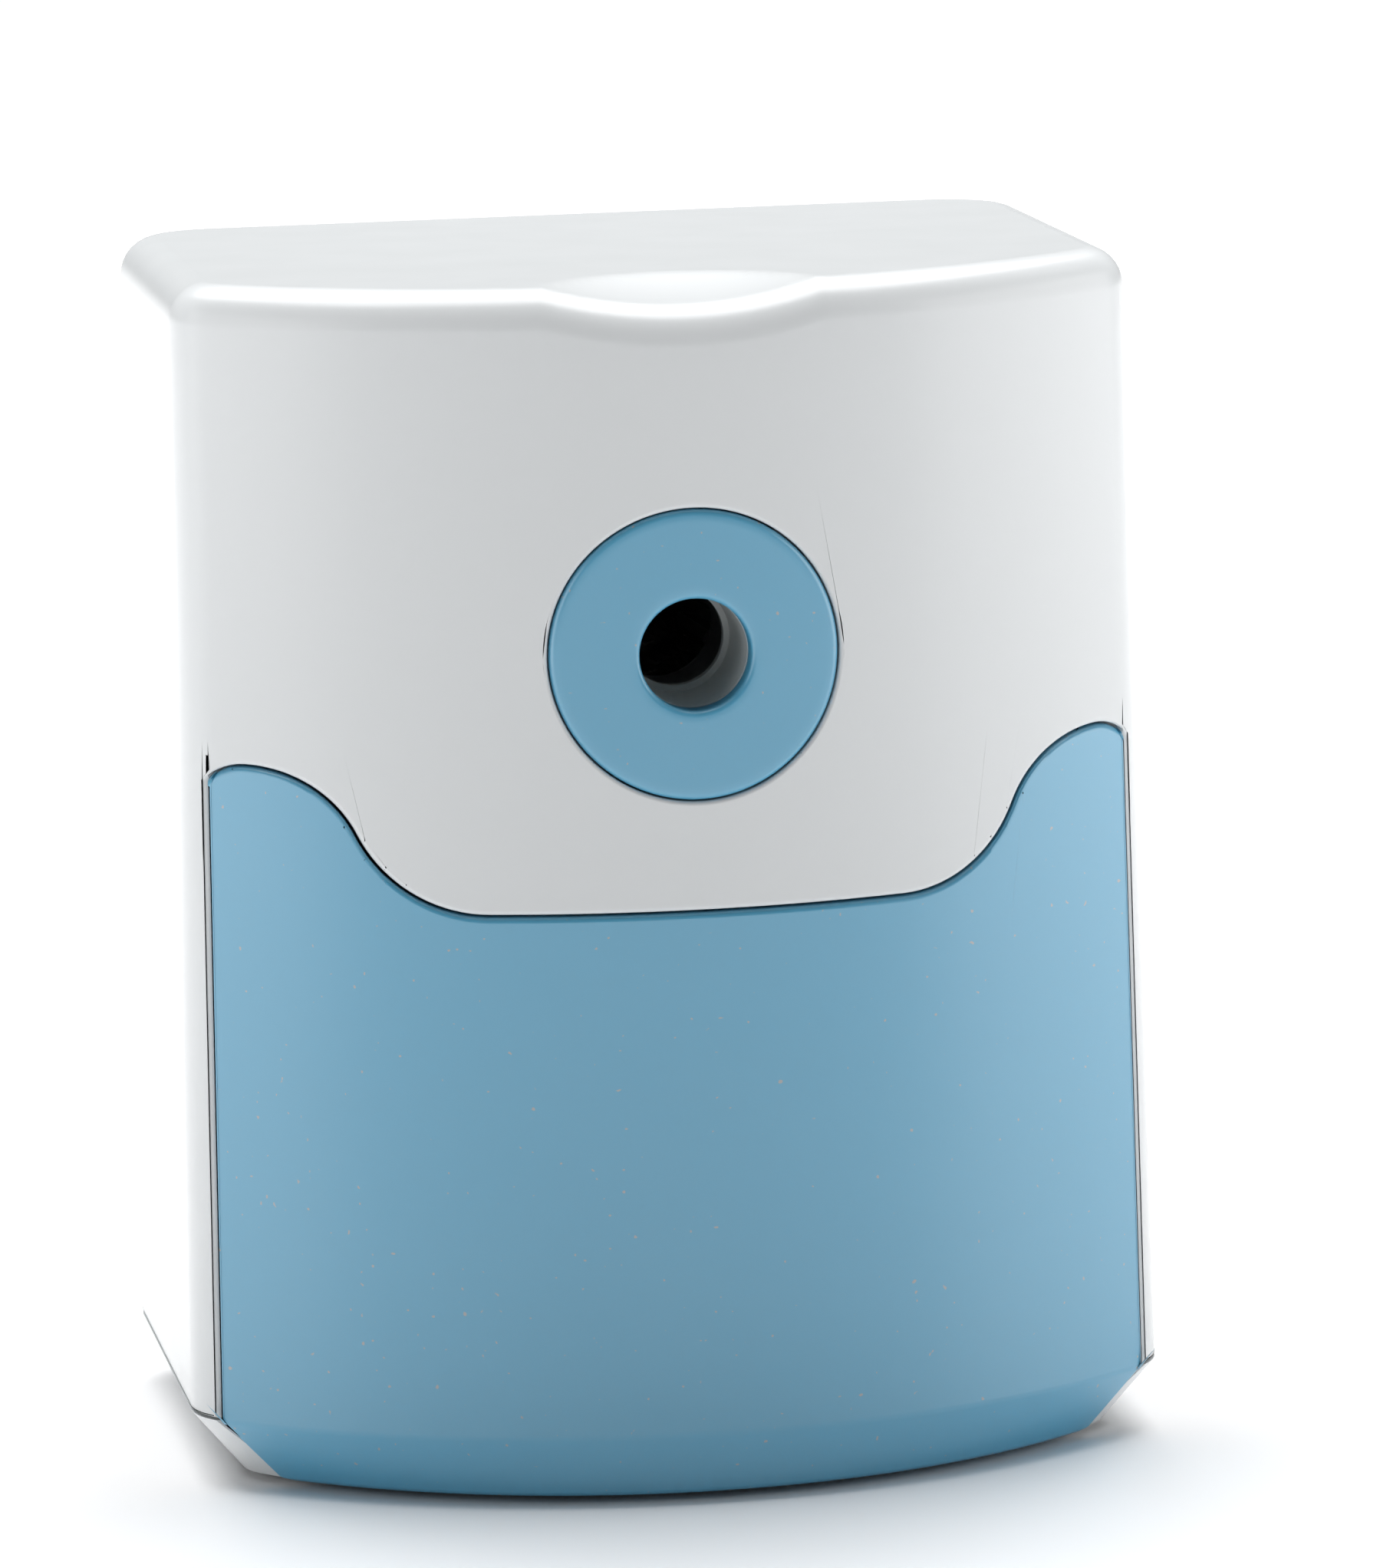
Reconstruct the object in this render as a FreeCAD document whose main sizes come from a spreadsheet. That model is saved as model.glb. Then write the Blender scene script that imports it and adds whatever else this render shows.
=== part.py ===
import FreeCAD, Part
import math
import os
from FreeCAD import Vector, Placement, Rotation
import Sketcher

# Hand-crank pencil sharpener: white housing, pull-out drawer with a wave-shaped front, helical cutter that
# planets round the pencil's axis inside a fixed internal gear, and a crank at the back.
# Frame: origin on the floor under the middle of the housing, -Y to the user, +Z up, millimetres.

doc = FreeCAD.newDocument("pencil_sharpener")
sheet = doc.addObject("Spreadsheet::Sheet", "sizes")

SIZES = {
    # housing
    "half_width": 38.0, "half_depth": 31.0, "front_radius": 53.0, "front_corner": 7.0, "back_corner": 8.0,
    "top_half_width": 36.9, "top_height": 93.0, "top_round": 3.0, "wall": 2.0, "roof": 2.6,
    "floor_gap": 0.6, "crease_height": 5.5, "foot_half_width": 34.0, "foot_radius": 43.0,
    "foot_corner": 5.0, "foot_front_inset": 1.5, "foot_back_inset": 2.0, "base_floor": 2.0,
    "dip_radius": 40.7, "dip_depth": 1.5,
    # wave-shaped edge between housing and drawer
    "wave_height": 45.7, "wave_flat": 15.9, "ear_height": 56.6, "ear_centre": 32.9, "wave_hollow": 10.4,
    "ear_outer": 3.5, "seam_depth": 14.4, "seam_gap": 0.2,
    # pencil axis and entry
    "axis_height": 65.3, "hole_radius": 4.25, "ring_radius": 11.0, "ring_gap": 0.12, "ring_back": 2.4,
    "collar_outer": 7.1, "collar_inner": 5.65, "collar_length": 3.1, "mouth_round": 0.7,
    "guide_outer": 5.6, "guide_end": 10.5, "guide_lip": 0.9, "guide_lip_radius": 3.8, "guide_flange": 9.0,
    # front bearing
    "plate_front": 7.3, "plate_thick": 2.5, "plate_half_width": 20.0, "plate_half_height": 13.0,
    "bearing_outer": 9.4, "bearing_wall": 1.9, "bearing_front": -19.45, "bearing_back": -16.2,
    "nose_front": -19.2, "nose_outer": 6.85, "nose_inner": 4.3, "run_gap": 0.05,
    # cutter geometry: both axes meet at the apex, behind the pencil's point
    "apex_y": 46.0, "cone_angle": 10.0, "cutter_radius": 6.0, "cutter_root": 5.25, "cutter_teeth": 14.0,
    "cutter_near": 33.6, "cutter_far": 57.0, "cutter_twist": 120.0, "axle_radius": 1.5,
    "pinion_teeth": 10.0, "ring_teeth": 22.0, "pinion_near": 26.6, "pinion_far": 31.9,
    "gear_front": 14.8, "gear_back": 20.2, "addendum": 0.62, "dedendum": 0.92, "tooth_share": 0.45,
    "pressure_angle": 20.0, "pinion_collar": 3.2, "space_near": 24.0, "space_far": 33.0,
    "axle_near": 23.6, "axle_far": 62.9, "clip_near": 61.7, "clip_far": 62.3, "clip_radius": 2.9,
    # carrier
    "cheek_front": 11.6, "cheek_thick": 2.4, "rear_cheek": 21.0, "spine_outer": 7.2, "spine_inner": 4.5,
    "spine_low": 0.8, "eye_radius": 3.6, "eye_drop": 10.3, "socket_start": 23.5, "slip": 0.01,
    "hub_radius": 5.5, "hub_end": 28.2, "shaft_start": 23.6, "shaft_radius": 2.5, "shaft_tap": 1.22,
    "tap_depth": 8.0, "pin_radius": 0.8, "pin_y": 26.0,
    # gear cup
    "cup_radius": 13.5, "cup_inner": 11.0, "cup_floor": 28.6, "cup_flange": 18.0, "flange_front": 27.0,
    "cup_boss": 9.0, "boss_proud": 0.4, "cup_seat": 4.4, "cup_bore": 4.0, "cup_screw_circle": 15.9,
    "rear_sleeve": 4.35, "rear_flange": 6.0, "rear_flange_thick": 0.75, "rear_inside": 2.5,
    "washer_radius": 5.2, "washer_thick": 0.65,
    # crank and knob
    "crank_radius": 32.0, "crank_start": 33.0, "crank_end": 38.6, "crank_hub": 6.5, "crank_thick": 4.0,
    "arm_step": 0.4, "arm_half": 4.6, "arm_eye": 5.5, "shaft_end": 38.0, "crank_screw_head": 3.6,
    "crank_screw_thick": 1.4, "crank_screw_shank": 1.2, "slot_half": 0.4, "slot_depth": 0.6,
    "knob_radius": 6.6, "knob_start": 38.2, "knob_end": 54.6, "knob_edge": 1.2, "knob_taper": 3.0,
    "knob_well": 3.6, "knob_floor": 52.1, "knob_pin": 1.5, "knob_pin_head": 2.2, "knob_pin_start": 33.3,
    "knob_pin_end": 53.0, "knob_pin_lip": 52.2, "cap_start": 53.4, "cap_radius": 3.58, "cap_end": 55.2,
    # drawer
    "tray_half_width": 30.5, "tray_front": 14.0, "tray_back": 24.0, "tray_low": 3.2, "tray_high": 43.5,
    "tray_wall": 1.5, "shell_wall": 2.2, "boss_x": 18.0, "boss_z": 24.0, "boss_radius": 3.2,
    "shelf_half": 29.0, "shelf_drop": 0.5, "shelf_thick": 2.0, "boss_screw_front": -21.5,
    # rear cover and fasteners
    "cover_half_width": 29.4, "cover_low": 6.3, "cover_high": 88.0, "cover_thick": 2.0,
    "screw_radius": 1.0, "pilot_gap": 0.02, "clear_gap": 0.15, "screw_head": 2.0, "head_thick": 1.2,
    "sink_depth": 1.1, "screw_x": 24.5, "screw_low": 11.0, "screw_high": 84.0,
    "wall_screw_x": 16.0, "wall_screw_low": -9.3, "wall_screw_high": 9.7,
    "base_screw_x": 28.5, "base_screw_y": 26.7, "base_sink": 1.5, "base_screw_end": 12.0,
    "mat_half": 26.0, "mat_front": -20.0, "mat_back": 21.0, "mat_corner": 6.0, "mat_sink": 0.6,
    "touch_gap": 0.1,
    # ribs inside the shell, and the tray's room in the base
    "seat_radius": 13.0, "seat_front": 1.5, "seat_back": 4.0, "block_inner": 20.5, "block_front": 24.6,
    "block_half": 5.0, "pillar_radius": 3.0, "pilot_start": 3.0, "base_wall": 2.6, "pocket_half": 33.4,
    "pocket_back": 24.4,
}
for row, (alias, value) in enumerate(SIZES.items(), start=1):
    sheet.set(f"A{row}", alias)
    sheet.set(f"B{row}", str(value))
    sheet.setAlias(f"B{row}", alias)
doc.recompute()


def size(alias):
    return float(sheet.get(alias))


def bind(obj, **expressions):
    """Bind properties to the sheet; a double underscore stands for a dot in the property's path."""
    for path, expression in expressions.items():
        obj.setExpression(path.replace("__", "."), expression)


# ---------------------------------------------------------------- primitives bound to the sheet
Y_AXIS = Rotation(Vector(1, 0, 0), -90)    # turns a cylinder's local +Z to +Y
FAR = "90"                                 # reaches past the whole part
SIDES = (-1, 1)


def box(name, x, y, z):
    """Box from three (low, high) pairs of expressions."""
    obj = doc.addObject("Part::Box", name)
    bind(obj, Length=f"({x[1]}) - ({x[0]})", Width=f"({y[1]}) - ({y[0]})", Height=f"({z[1]}) - ({z[0]})",
         Placement__Base__x=x[0], Placement__Base__y=y[0], Placement__Base__z=z[0])
    return obj


def rod(name, radius, y, x="0", z="sizes.axis_height"):
    """Cylinder along Y between two expressions."""
    obj = doc.addObject("Part::Cylinder", name)
    obj.Placement = Placement(Vector(), Y_AXIS)
    bind(obj, Radius=radius, Height=f"({y[1]}) - ({y[0]})",
         Placement__Base__x=x, Placement__Base__y=y[0], Placement__Base__z=z)
    return obj


def post(name, radius, z, x, y):
    """Cylinder along Z between two expressions."""
    obj = doc.addObject("Part::Cylinder", name)
    bind(obj, Radius=radius, Height=f"({z[1]}) - ({z[0]})",
         Placement__Base__x=x, Placement__Base__y=y, Placement__Base__z=z[0])
    return obj


def fuse(name, *parts):
    obj = doc.addObject("Part::MultiFuse", name)
    obj.Shapes = list(parts)
    obj.Refine = True
    return obj


def cut(name, base, *tools):
    tool = tools[0] if len(tools) == 1 else fuse(name + "_tools", *tools)
    obj = doc.addObject("Part::Cut", name)
    obj.Base = base
    obj.Tool = tool
    obj.Refine = True
    return obj


def common(name, *parts):
    obj = doc.addObject("Part::MultiCommon", name)
    obj.Shapes = list(parts)
    obj.Refine = True
    return obj


def group(name, parts):
    """Separate solids kept together in one node."""
    obj = doc.addObject("Part::Compound", name)
    obj.Links = list(parts)
    return obj


def value(expression):
    """Number that an expression in the sheet's aliases gives."""
    return float(sheet.evalExpression(expression))


def draw(sketch, corners):
    """Closed outline. Each corner is (x, y) or (x, y, radius) in expressions: with a radius, the edge that
    starts there is an arc, and a leading minus on the radius turns it clockwise."""
    count = len(corners)
    points = [Vector(value(c[0]), value(c[1]), 0) for c in corners]
    ends = []
    for i, corner in enumerate(corners):
        a, b = points[i], points[(i + 1) % count]
        if len(corner) == 2:
            sketch.addGeometry(Part.LineSegment(a, b), False)
            ends.append((1, 2))
            continue
        clockwise = corner[2].startswith("-")
        radius = value(corner[2].lstrip("-"))
        first, last = (b, a) if clockwise else (a, b)
        chord = last - first
        left = Vector(-chord.y, chord.x, 0).normalize()
        centre = (first + last) * 0.5 + left * math.sqrt(max(radius ** 2 - chord.Length ** 2 / 4, 0))
        low = math.atan2(first.y - centre.y, first.x - centre.x)
        high = math.atan2(last.y - centre.y, last.x - centre.x)
        if high < low:
            high += 2 * math.pi
        circle = Part.Circle(centre, Vector(0, 0, 1), radius)
        sketch.addGeometry(Part.ArcOfCircle(circle, low, high), False)
        ends.append((2, 1) if clockwise else (1, 2))
    for i in range(count):
        j = (i + 1) % count
        sketch.addConstraint(Sketcher.Constraint("Coincident", i, ends[i][1], j, ends[j][0]))
    for i, corner in enumerate(corners):
        for kind, axis, number, expression in (("DistanceX", -2, points[i].x, corner[0]),
                                               ("DistanceY", -1, points[i].y, corner[1])):
            if abs(number) < 1e-9:
                sketch.addConstraint(Sketcher.Constraint("PointOnObject", i, ends[i][0], axis))
                continue
            n = sketch.addConstraint(Sketcher.Constraint(kind, -1, 1, i, ends[i][0], number))
            sketch.setExpression(f"Constraints[{n}]", expression)
        if len(corner) == 3:
            radius = corner[2].lstrip("-")
            n = sketch.addConstraint(Sketcher.Constraint("Radius", i, value(radius)))
            sketch.setExpression(f"Constraints[{n}]", radius)


def turned(name, profile, place):
    """Turned piece: closed outline of (along, radius) expressions, revolved about its own X axis."""
    body = doc.addObject("PartDesign::Body", name)
    sketch = body.newObject("Sketcher::SketchObject", name + "_profile")
    plane = [f for f in body.Origin.OriginFeatures if f.Role == "XY_Plane"][0]
    sketch.AttachmentSupport = [(plane, "")]
    sketch.MapMode = "FlatFace"
    draw(sketch, profile)
    turn = body.newObject("PartDesign::Revolution", name + "_turn")
    turn.Profile = sketch
    turn.ReferenceAxis = (sketch, ["H_Axis"])
    turn.Angle = 360.0
    body.Placement = place
    return body


def sleeve(inner, outer, low, high):
    """Profile of a plain ring for turned()."""
    return [(low, inner), (high, inner), (high, outer), (low, outer)]


# The pencil's axis and the cutter's axis as placements: local X runs along the axis.
MAIN_AXIS = Placement(Vector(0, 0, size("axis_height")), Rotation(Vector(0, 0, 1), 90))
APEX = Vector(0, size("apex_y"), size("axis_height"))


def from_apex(tilt_degrees):
    """Local X leaves the apex towards the user, tilted down; local Y is the frame's X."""
    tilt = math.radians(tilt_degrees)
    along = Vector(0, -math.cos(tilt), -math.sin(tilt))
    side = Vector(1, 0, 0)
    return Placement(APEX, Rotation(along, side, along.cross(side), "XYZ"))


ALONG = Vector(1, 0, 0)
CUTTER_AXIS = from_apex(size("cone_angle"))

# ---------------------------------------------------------------- plan outlines of the casing
# Bowed front, round corners, straight sides and back. An inset moves the whole outline inwards.
PLANS = {
    "foot": ("sizes.foot_half_width", "sizes.foot_radius", "sizes.foot_corner", "sizes.foot_front_inset",
             "sizes.foot_back_inset", "sizes.back_corner - sizes.foot_back_inset"),
    "crease": ("sizes.half_width", "sizes.front_radius", "sizes.front_corner", "0", "0",
               "sizes.back_corner"),
    "top": ("sizes.top_half_width", "sizes.front_radius", "sizes.front_corner", "0.3", "0",
            "sizes.back_corner"),
}


def plan(name, form, height, inset="0"):
    half, radius, corner, front, back, rear = PLANS[form]
    x = f"({half} - ({inset}))"
    r = f"({radius} - ({inset}))"
    c = f"({corner} - ({inset}))"
    k = f"({rear} - ({inset}))"
    centre = f"({radius} + {front} - sizes.half_depth)"
    lever = f"(({x} - {c}) / ({r} - {c}))"
    drop = f"sqrt(1 - {lever} * {lever})"
    join_x, join_y = f"{r} * {lever}", f"{centre} - {r} * {drop}"
    side_y = f"{centre} - ({r} - {c}) * {drop}"
    back_y = f"(sizes.half_depth - {back} - ({inset}))"
    sketch = doc.addObject("Sketcher::SketchObject", name)
    draw(sketch, [(f"-{join_x}", join_y, r), (join_x, join_y, c), (x, side_y),
                  (x, f"{back_y} - {k}", k), (f"{x} - {k}", back_y), (f"{k} - {x}", back_y, k),
                  (f"-{x}", f"{back_y} - {k}"), (f"-{x}", side_y, c)])
    bind(sketch, Placement__Base__z=height)
    return sketch


def loft(name, *sections):
    obj = doc.addObject("Part::Loft", name)
    obj.Sections = list(sections)
    obj.Solid = True
    obj.Ruled = True
    return obj


def prism(name, sketch, length, backwards=False):
    obj = doc.addObject("Part::Extrusion", name)
    obj.Base = sketch
    obj.DirMode = "Normal"
    obj.Solid = True
    obj.Reversed = backwards
    bind(obj, LengthFwd=length)
    return obj


def form(name, inset, roof):
    """Casing's shape, or the hollow inside it: foot, body and top in one solid."""
    low = "sizes.floor_gap" if inset == "0" else "sizes.floor_gap - 1"
    foot = plan(name + "_foot", "foot", low, inset)
    crease = plan(name + "_crease", "crease", "sizes.crease_height", inset)
    top = plan(name + "_top", "top", f"sizes.top_height - ({roof})", inset)
    return fuse(name, loft(name + "_base", foot, crease), loft(name + "_body", crease, top))


casing = form("casing", "0", "0")
hollow = form("hollow", "sizes.wall", "sizes.roof")
drawer_hollow = form("drawer_hollow", "sizes.shell_wall", "sizes.roof")
doc.recompute()

# Top edge rounded off.
rim = []
for number, edge in enumerate(casing.Shape.Edges, start=1):
    at_top = edge.BoundBox.ZMin > size("top_height") - 0.01
    if at_top:
        rim.append((number, size("top_round"), size("top_round")))
rounded = doc.addObject("Part::Fillet", "rounded_casing")
rounded.Base = casing
rounded.Edges = rim

# Wave-shaped region of the front that belongs to the drawer, with an allowance round it.
RISE = "(sizes.ear_height - sizes.wave_height)"
RUN = "(sizes.ear_centre - sizes.wave_flat)"
SWING = f"(({RISE} * {RISE} + {RUN} * {RUN}) / (2 * {RISE}))"    # hollow's radius plus ear's radius


def wave_region(name, gap):
    edge_x = f"(sizes.ear_centre + sizes.ear_outer + {gap})"
    bend_x = f"(sizes.wave_flat + (sizes.wave_hollow - {gap}) * {RUN} / {SWING})"
    bend_z = (f"(sizes.wave_height + sizes.wave_hollow"
              f" + (sizes.wave_hollow - {gap}) * ({RISE} - {SWING}) / {SWING})")
    ear, hollow_arc = f"({SWING} - sizes.wave_hollow + {gap})", f"-(sizes.wave_hollow - {gap})"
    outer, low = f"(sizes.ear_outer + {gap})", f"-{FAR}"
    ear_top, flat = f"sizes.ear_height + {gap}", f"sizes.wave_height + {gap}"
    ear_side = "sizes.ear_height - sizes.ear_outer"
    sketch = doc.addObject("Sketcher::SketchObject", name + "_outline")
    sketch.Placement = Placement(Vector(), Rotation(Vector(1, 0, 0), 90))
    bind(sketch, Placement__Base__y=f"sizes.seam_depth + {gap} - sizes.half_depth")
    draw(sketch, [(f"-{edge_x}", low), (edge_x, low), (edge_x, ear_side, outer),
                  ("sizes.ear_centre", ear_top, ear), (bend_x, bend_z, hollow_arc),
                  ("sizes.wave_flat", flat), ("-sizes.wave_flat", flat, hollow_arc),
                  (f"-{bend_x}", bend_z, ear), ("-sizes.ear_centre", ear_top, outer),
                  (f"-{edge_x}", ear_side)])
    return prism(name, sketch, FAR)


drawer_region = wave_region("drawer_region", "0")
drawer_room = wave_region("drawer_room", "sizes.seam_gap")

# ---------------------------------------------------------------- housing
FRONT = "(-sizes.half_depth)"
BACK = "sizes.half_depth"
COVER_IN = "(sizes.half_depth - sizes.cover_thick)"
COVER_EDGE = "(sizes.cover_half_width + sizes.clear_gap)"
AXIS = "sizes.axis_height"
SINK = f"{BACK} - sizes.sink_depth"
PILOT, CLEAR = "sizes.screw_radius + sizes.pilot_gap", "sizes.screw_radius + sizes.clear_gap"


def housing_shell():
    dip = doc.addObject("Part::Sphere", "thumb_dip")
    bind(dip, Radius="sizes.dip_radius", Placement__Base__y=FRONT,
         Placement__Base__z="sizes.top_height - sizes.dip_depth + sizes.dip_radius")
    below_crease = box("below_crease", (f"-{FAR}", FAR), (f"-{FAR}", FAR),
                       (f"-{FAR}", "sizes.crease_height + sizes.touch_gap"))
    opening = box("rear_opening", (f"-{COVER_EDGE}", COVER_EDGE), (f"{COVER_IN} - 1", FAR),
                  ("sizes.cover_low - sizes.clear_gap", "sizes.cover_high + sizes.clear_gap"))
    skin = cut("shell_skin", rounded, hollow, dip, drawer_room, below_crease, opening)
    ribs = [rod("ring_seat", "sizes.seat_radius", (f"{FRONT} + sizes.seat_front",
                                                   f"{FRONT} + sizes.seat_back"))]
    outer, inner = "sizes.half_width", "sizes.block_inner"
    for side, x in (("left", (f"-{outer}", f"-{inner}")), ("right", (inner, outer))):
        depth = ("sizes.block_front", f"{COVER_IN} - sizes.touch_gap")
        ribs.append(box(f"low_{side}_block", x, depth, ("sizes.crease_height + sizes.touch_gap",
                                                        "sizes.screw_low + sizes.block_half")))
        ribs.append(box(f"high_{side}_block", x, depth, ("sizes.screw_high - sizes.block_half",
                                                         "sizes.top_height - 1")))
    ribs += plate_screw_tools("pillar", "sizes.pillar_radius", f"{FRONT} + 1",
                              f"{FRONT} + sizes.plate_front - sizes.touch_gap")
    inside = common("shell_ribs", fuse("ribs", *ribs), casing)
    holes = [rod("ring_hole", "sizes.ring_radius + sizes.ring_gap",
                 (f"-{FAR}", f"{FRONT} + sizes.ring_back")),
             rod("collar_hole", "sizes.collar_outer + sizes.touch_gap", (f"-{FAR}", f"{FRONT} + 5"))]
    holes += cover_screw_tools("shell_pilot", PILOT, "22", BACK)
    holes += plate_screw_tools("pillar_pilot", PILOT, f"{FRONT} + sizes.pilot_start", "-20")
    holes += base_screw_tools("block_pilot", PILOT, "5", "sizes.base_screw_end + 0.2")
    shell = cut("housing_shell", fuse("shell_body", skin, inside), *holes)
    shell.Refine = False
    return shell


def cover_screw_tools(name, radius, low, high):
    return [rod(f"{name}_{i}", radius, (low, high), f"{sx} * sizes.screw_x", z)
            for i, (sx, z) in enumerate([(-1, "sizes.screw_low"), (1, "sizes.screw_low"),
                                         (-1, "sizes.screw_high"), (1, "sizes.screw_high")])]


def plate_screw_tools(name, radius, low, high):
    places = [(side, level) for level in ("sizes.wall_screw_low", "sizes.wall_screw_high") for side in SIDES]
    return [rod(f"{name}_{i}", radius, (low, high), f"{side} * sizes.wall_screw_x", f"{AXIS} + ({level})")
            for i, (side, level) in enumerate(places)]


def base_screw_tools(name, radius, low, high):
    return [post(f"{name}_{i}", radius, (low, high), f"{side} * sizes.base_screw_x", "sizes.base_screw_y")
            for i, side in enumerate(SIDES)]


def rear_cover():
    panel = box("cover_panel", ("-sizes.cover_half_width", "sizes.cover_half_width"), (COVER_IN, BACK),
                ("sizes.cover_low", "sizes.cover_high"))
    holes = [rod("cup_hole", "sizes.cup_boss + sizes.touch_gap", ("0", FAR))]
    holes += cover_screw_tools("cover_clear", CLEAR, "0", FAR)
    holes += cover_screw_tools("cover_sink", "sizes.screw_head + sizes.clear_gap", SINK, FAR)
    holes += ring_screw_tools("cover_pilot", PILOT, "0", f"{BACK} - 0.35")
    return cut("rear_cover", panel, *holes)


def screw(name, index, tools):
    return fuse(f"{name}_{index}", *tools)


def cover_screws():
    heads = cover_screw_tools("cover_head", "sizes.screw_head", SINK, f"{BACK} + sizes.touch_gap")
    shanks = cover_screw_tools("cover_shank", "sizes.screw_radius", "sizes.tray_back + 0.7", SINK)
    return group("cover_screws", [screw("cover_screw", i, p) for i, p in enumerate(zip(heads, shanks))])


BASE_SINK = "sizes.floor_gap + sizes.base_sink"


def mat_outline(name, height, gap):
    """Rounded rectangle of the rubber mat, or of its recess."""
    x, r = f"(sizes.mat_half + {gap})", f"(sizes.mat_corner + {gap})"
    front, back = f"(sizes.mat_front - {gap})", f"(sizes.mat_back + {gap})"
    sketch = doc.addObject("Sketcher::SketchObject", name)
    draw(sketch, [(f"{r} - {x}", front), (f"{x} - {r}", front, r), (x, f"{front} + {r}"),
                  (x, f"{back} - {r}", r), (f"{x} - {r}", back), (f"{r} - {x}", back, r),
                  (f"-{x}", f"{back} - {r}"), (f"-{x}", f"{front} + {r}", r)])
    bind(sketch, Placement__Base__z=height)
    return sketch


def base_plate():
    zone = box("base_zone", (f"-{FAR}", FAR), (f"{FRONT} + sizes.seam_depth + 0.3", FAR),
               ("0", "sizes.crease_height"))
    foot = plan("floor_outline", "foot", "sizes.floor_gap", "sizes.base_wall")
    floor_plate = prism("floor_plate", foot, "sizes.base_floor")
    pocket = box("tray_pocket", ("-sizes.pocket_half", "sizes.pocket_half"),
                 (f"-{FAR}", "sizes.pocket_back"), ("sizes.floor_gap + sizes.base_floor", FAR))
    recess = prism("mat_recess", mat_outline("recess_outline", "-1", "sizes.run_gap"),
                   "sizes.floor_gap + sizes.mat_sink + 1")
    holes = base_screw_tools("base_clear", CLEAR, "-1", FAR)
    holes += base_screw_tools("base_sink", "sizes.screw_head", "-1", BASE_SINK)
    rim = cut("base_rim", common("base_lip", casing, zone), pocket)
    return cut("base_plate", fuse("base_body", rim, floor_plate), recess, *holes)


def rubber_mat():
    return prism("rubber_mat", mat_outline("mat_outline", "0", "0"), "sizes.floor_gap + sizes.mat_sink - 0.02")


def base_screws():
    heads = base_screw_tools("base_head", "sizes.screw_head - sizes.clear_gap", "sizes.floor_gap + 0.2",
                             BASE_SINK)
    shanks = base_screw_tools("base_shank", "sizes.screw_radius", BASE_SINK, "sizes.base_screw_end")
    return group("base_screws", [screw("base_screw", i, p) for i, p in enumerate(zip(heads, shanks))])


def entry_ring():
    blank = turned("ring_blank", [
        (f"{FRONT} - 1", "sizes.hole_radius"), (f"{FRONT} + sizes.ring_back - 0.05", "sizes.hole_radius"),
        (f"{FRONT} + sizes.ring_back - 0.05", "sizes.collar_inner"),
        (f"{FRONT} + sizes.ring_back + sizes.collar_length", "sizes.collar_inner"),
        (f"{FRONT} + sizes.ring_back + sizes.collar_length", "sizes.collar_outer"),
        (f"{FRONT} + sizes.ring_back - 0.05", "sizes.collar_outer"),
        (f"{FRONT} + sizes.ring_back - 0.05", "sizes.ring_radius"),
        (f"{FRONT} - 1", "sizes.ring_radius")], MAIN_AXIS)
    mouth = doc.addObject("Part::Cone", "ring_mouth")
    mouth.Placement = Placement(Vector(), Y_AXIS)
    bind(mouth, Radius1="sizes.hole_radius + sizes.mouth_round", Radius2="sizes.hole_radius",
         Height="sizes.mouth_round", Placement__Base__y=FRONT, Placement__Base__z=AXIS)
    return cut("entry_ring", common("ring_flush", blank, casing), mouth)


def pencil_guide():
    start, end = f"{FRONT} + sizes.ring_back", f"{FRONT} + sizes.guide_end"
    flange = f"{FRONT} + sizes.ring_back + sizes.collar_length + 0.1"
    plate = f"{FRONT} + sizes.plate_front - 0.05"
    return turned("pencil_guide", [
        (start, "sizes.hole_radius"), (end, "sizes.hole_radius"), (end, "sizes.guide_lip_radius"),
        (f"{end} + sizes.guide_lip", "sizes.guide_lip_radius"),
        (f"{end} + sizes.guide_lip", "sizes.guide_outer"),
        (plate, "sizes.guide_outer"), (plate, "sizes.guide_flange"), (flange, "sizes.guide_flange"),
        (flange, "sizes.guide_outer"), (start, "sizes.guide_outer")], MAIN_AXIS)


def bearing_wall():
    plate = box("wall_plate", ("-sizes.plate_half_width", "sizes.plate_half_width"),
                (f"{FRONT} + sizes.plate_front", PLATE_BACK),
                (f"{AXIS} - sizes.plate_half_height", f"{AXIS} + sizes.plate_half_height"))
    cup = rod("bearing_cup", "sizes.bearing_outer + sizes.bearing_wall",
              (PLATE_BACK, "sizes.seam_depth - sizes.half_depth"))
    holes = [rod("guide_hole", "sizes.guide_outer + sizes.run_gap", (f"-{FAR}", "0")),
             rod("bearing_seat", "sizes.bearing_outer + sizes.pilot_gap",
                 ("sizes.bearing_front - sizes.run_gap", "0"))]
    holes += plate_screw_tools("wall_clear", CLEAR, f"-{FAR}", "0")
    return cut("bearing_wall", fuse("wall_body", plate, cup), *holes)


PLATE_BACK = f"({FRONT} + sizes.plate_front + sizes.plate_thick)"


def wall_screws():
    heads = plate_screw_tools("wall_head", "sizes.screw_head", PLATE_BACK,
                              f"{PLATE_BACK} + sizes.head_thick")
    shanks = plate_screw_tools("wall_shank", "sizes.screw_radius", f"{FRONT} + sizes.pilot_start + 0.4",
                               PLATE_BACK)
    return group("wall_screws", [screw("wall_screw", i, p) for i, p in enumerate(zip(heads, shanks))])


def front_bearing():
    return turned("front_bearing", sleeve("sizes.nose_outer + sizes.run_gap", "sizes.bearing_outer",
                                          "sizes.bearing_front", "sizes.bearing_back"), MAIN_AXIS)


FLANGE_END = f"{BACK} + 1.2"


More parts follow.
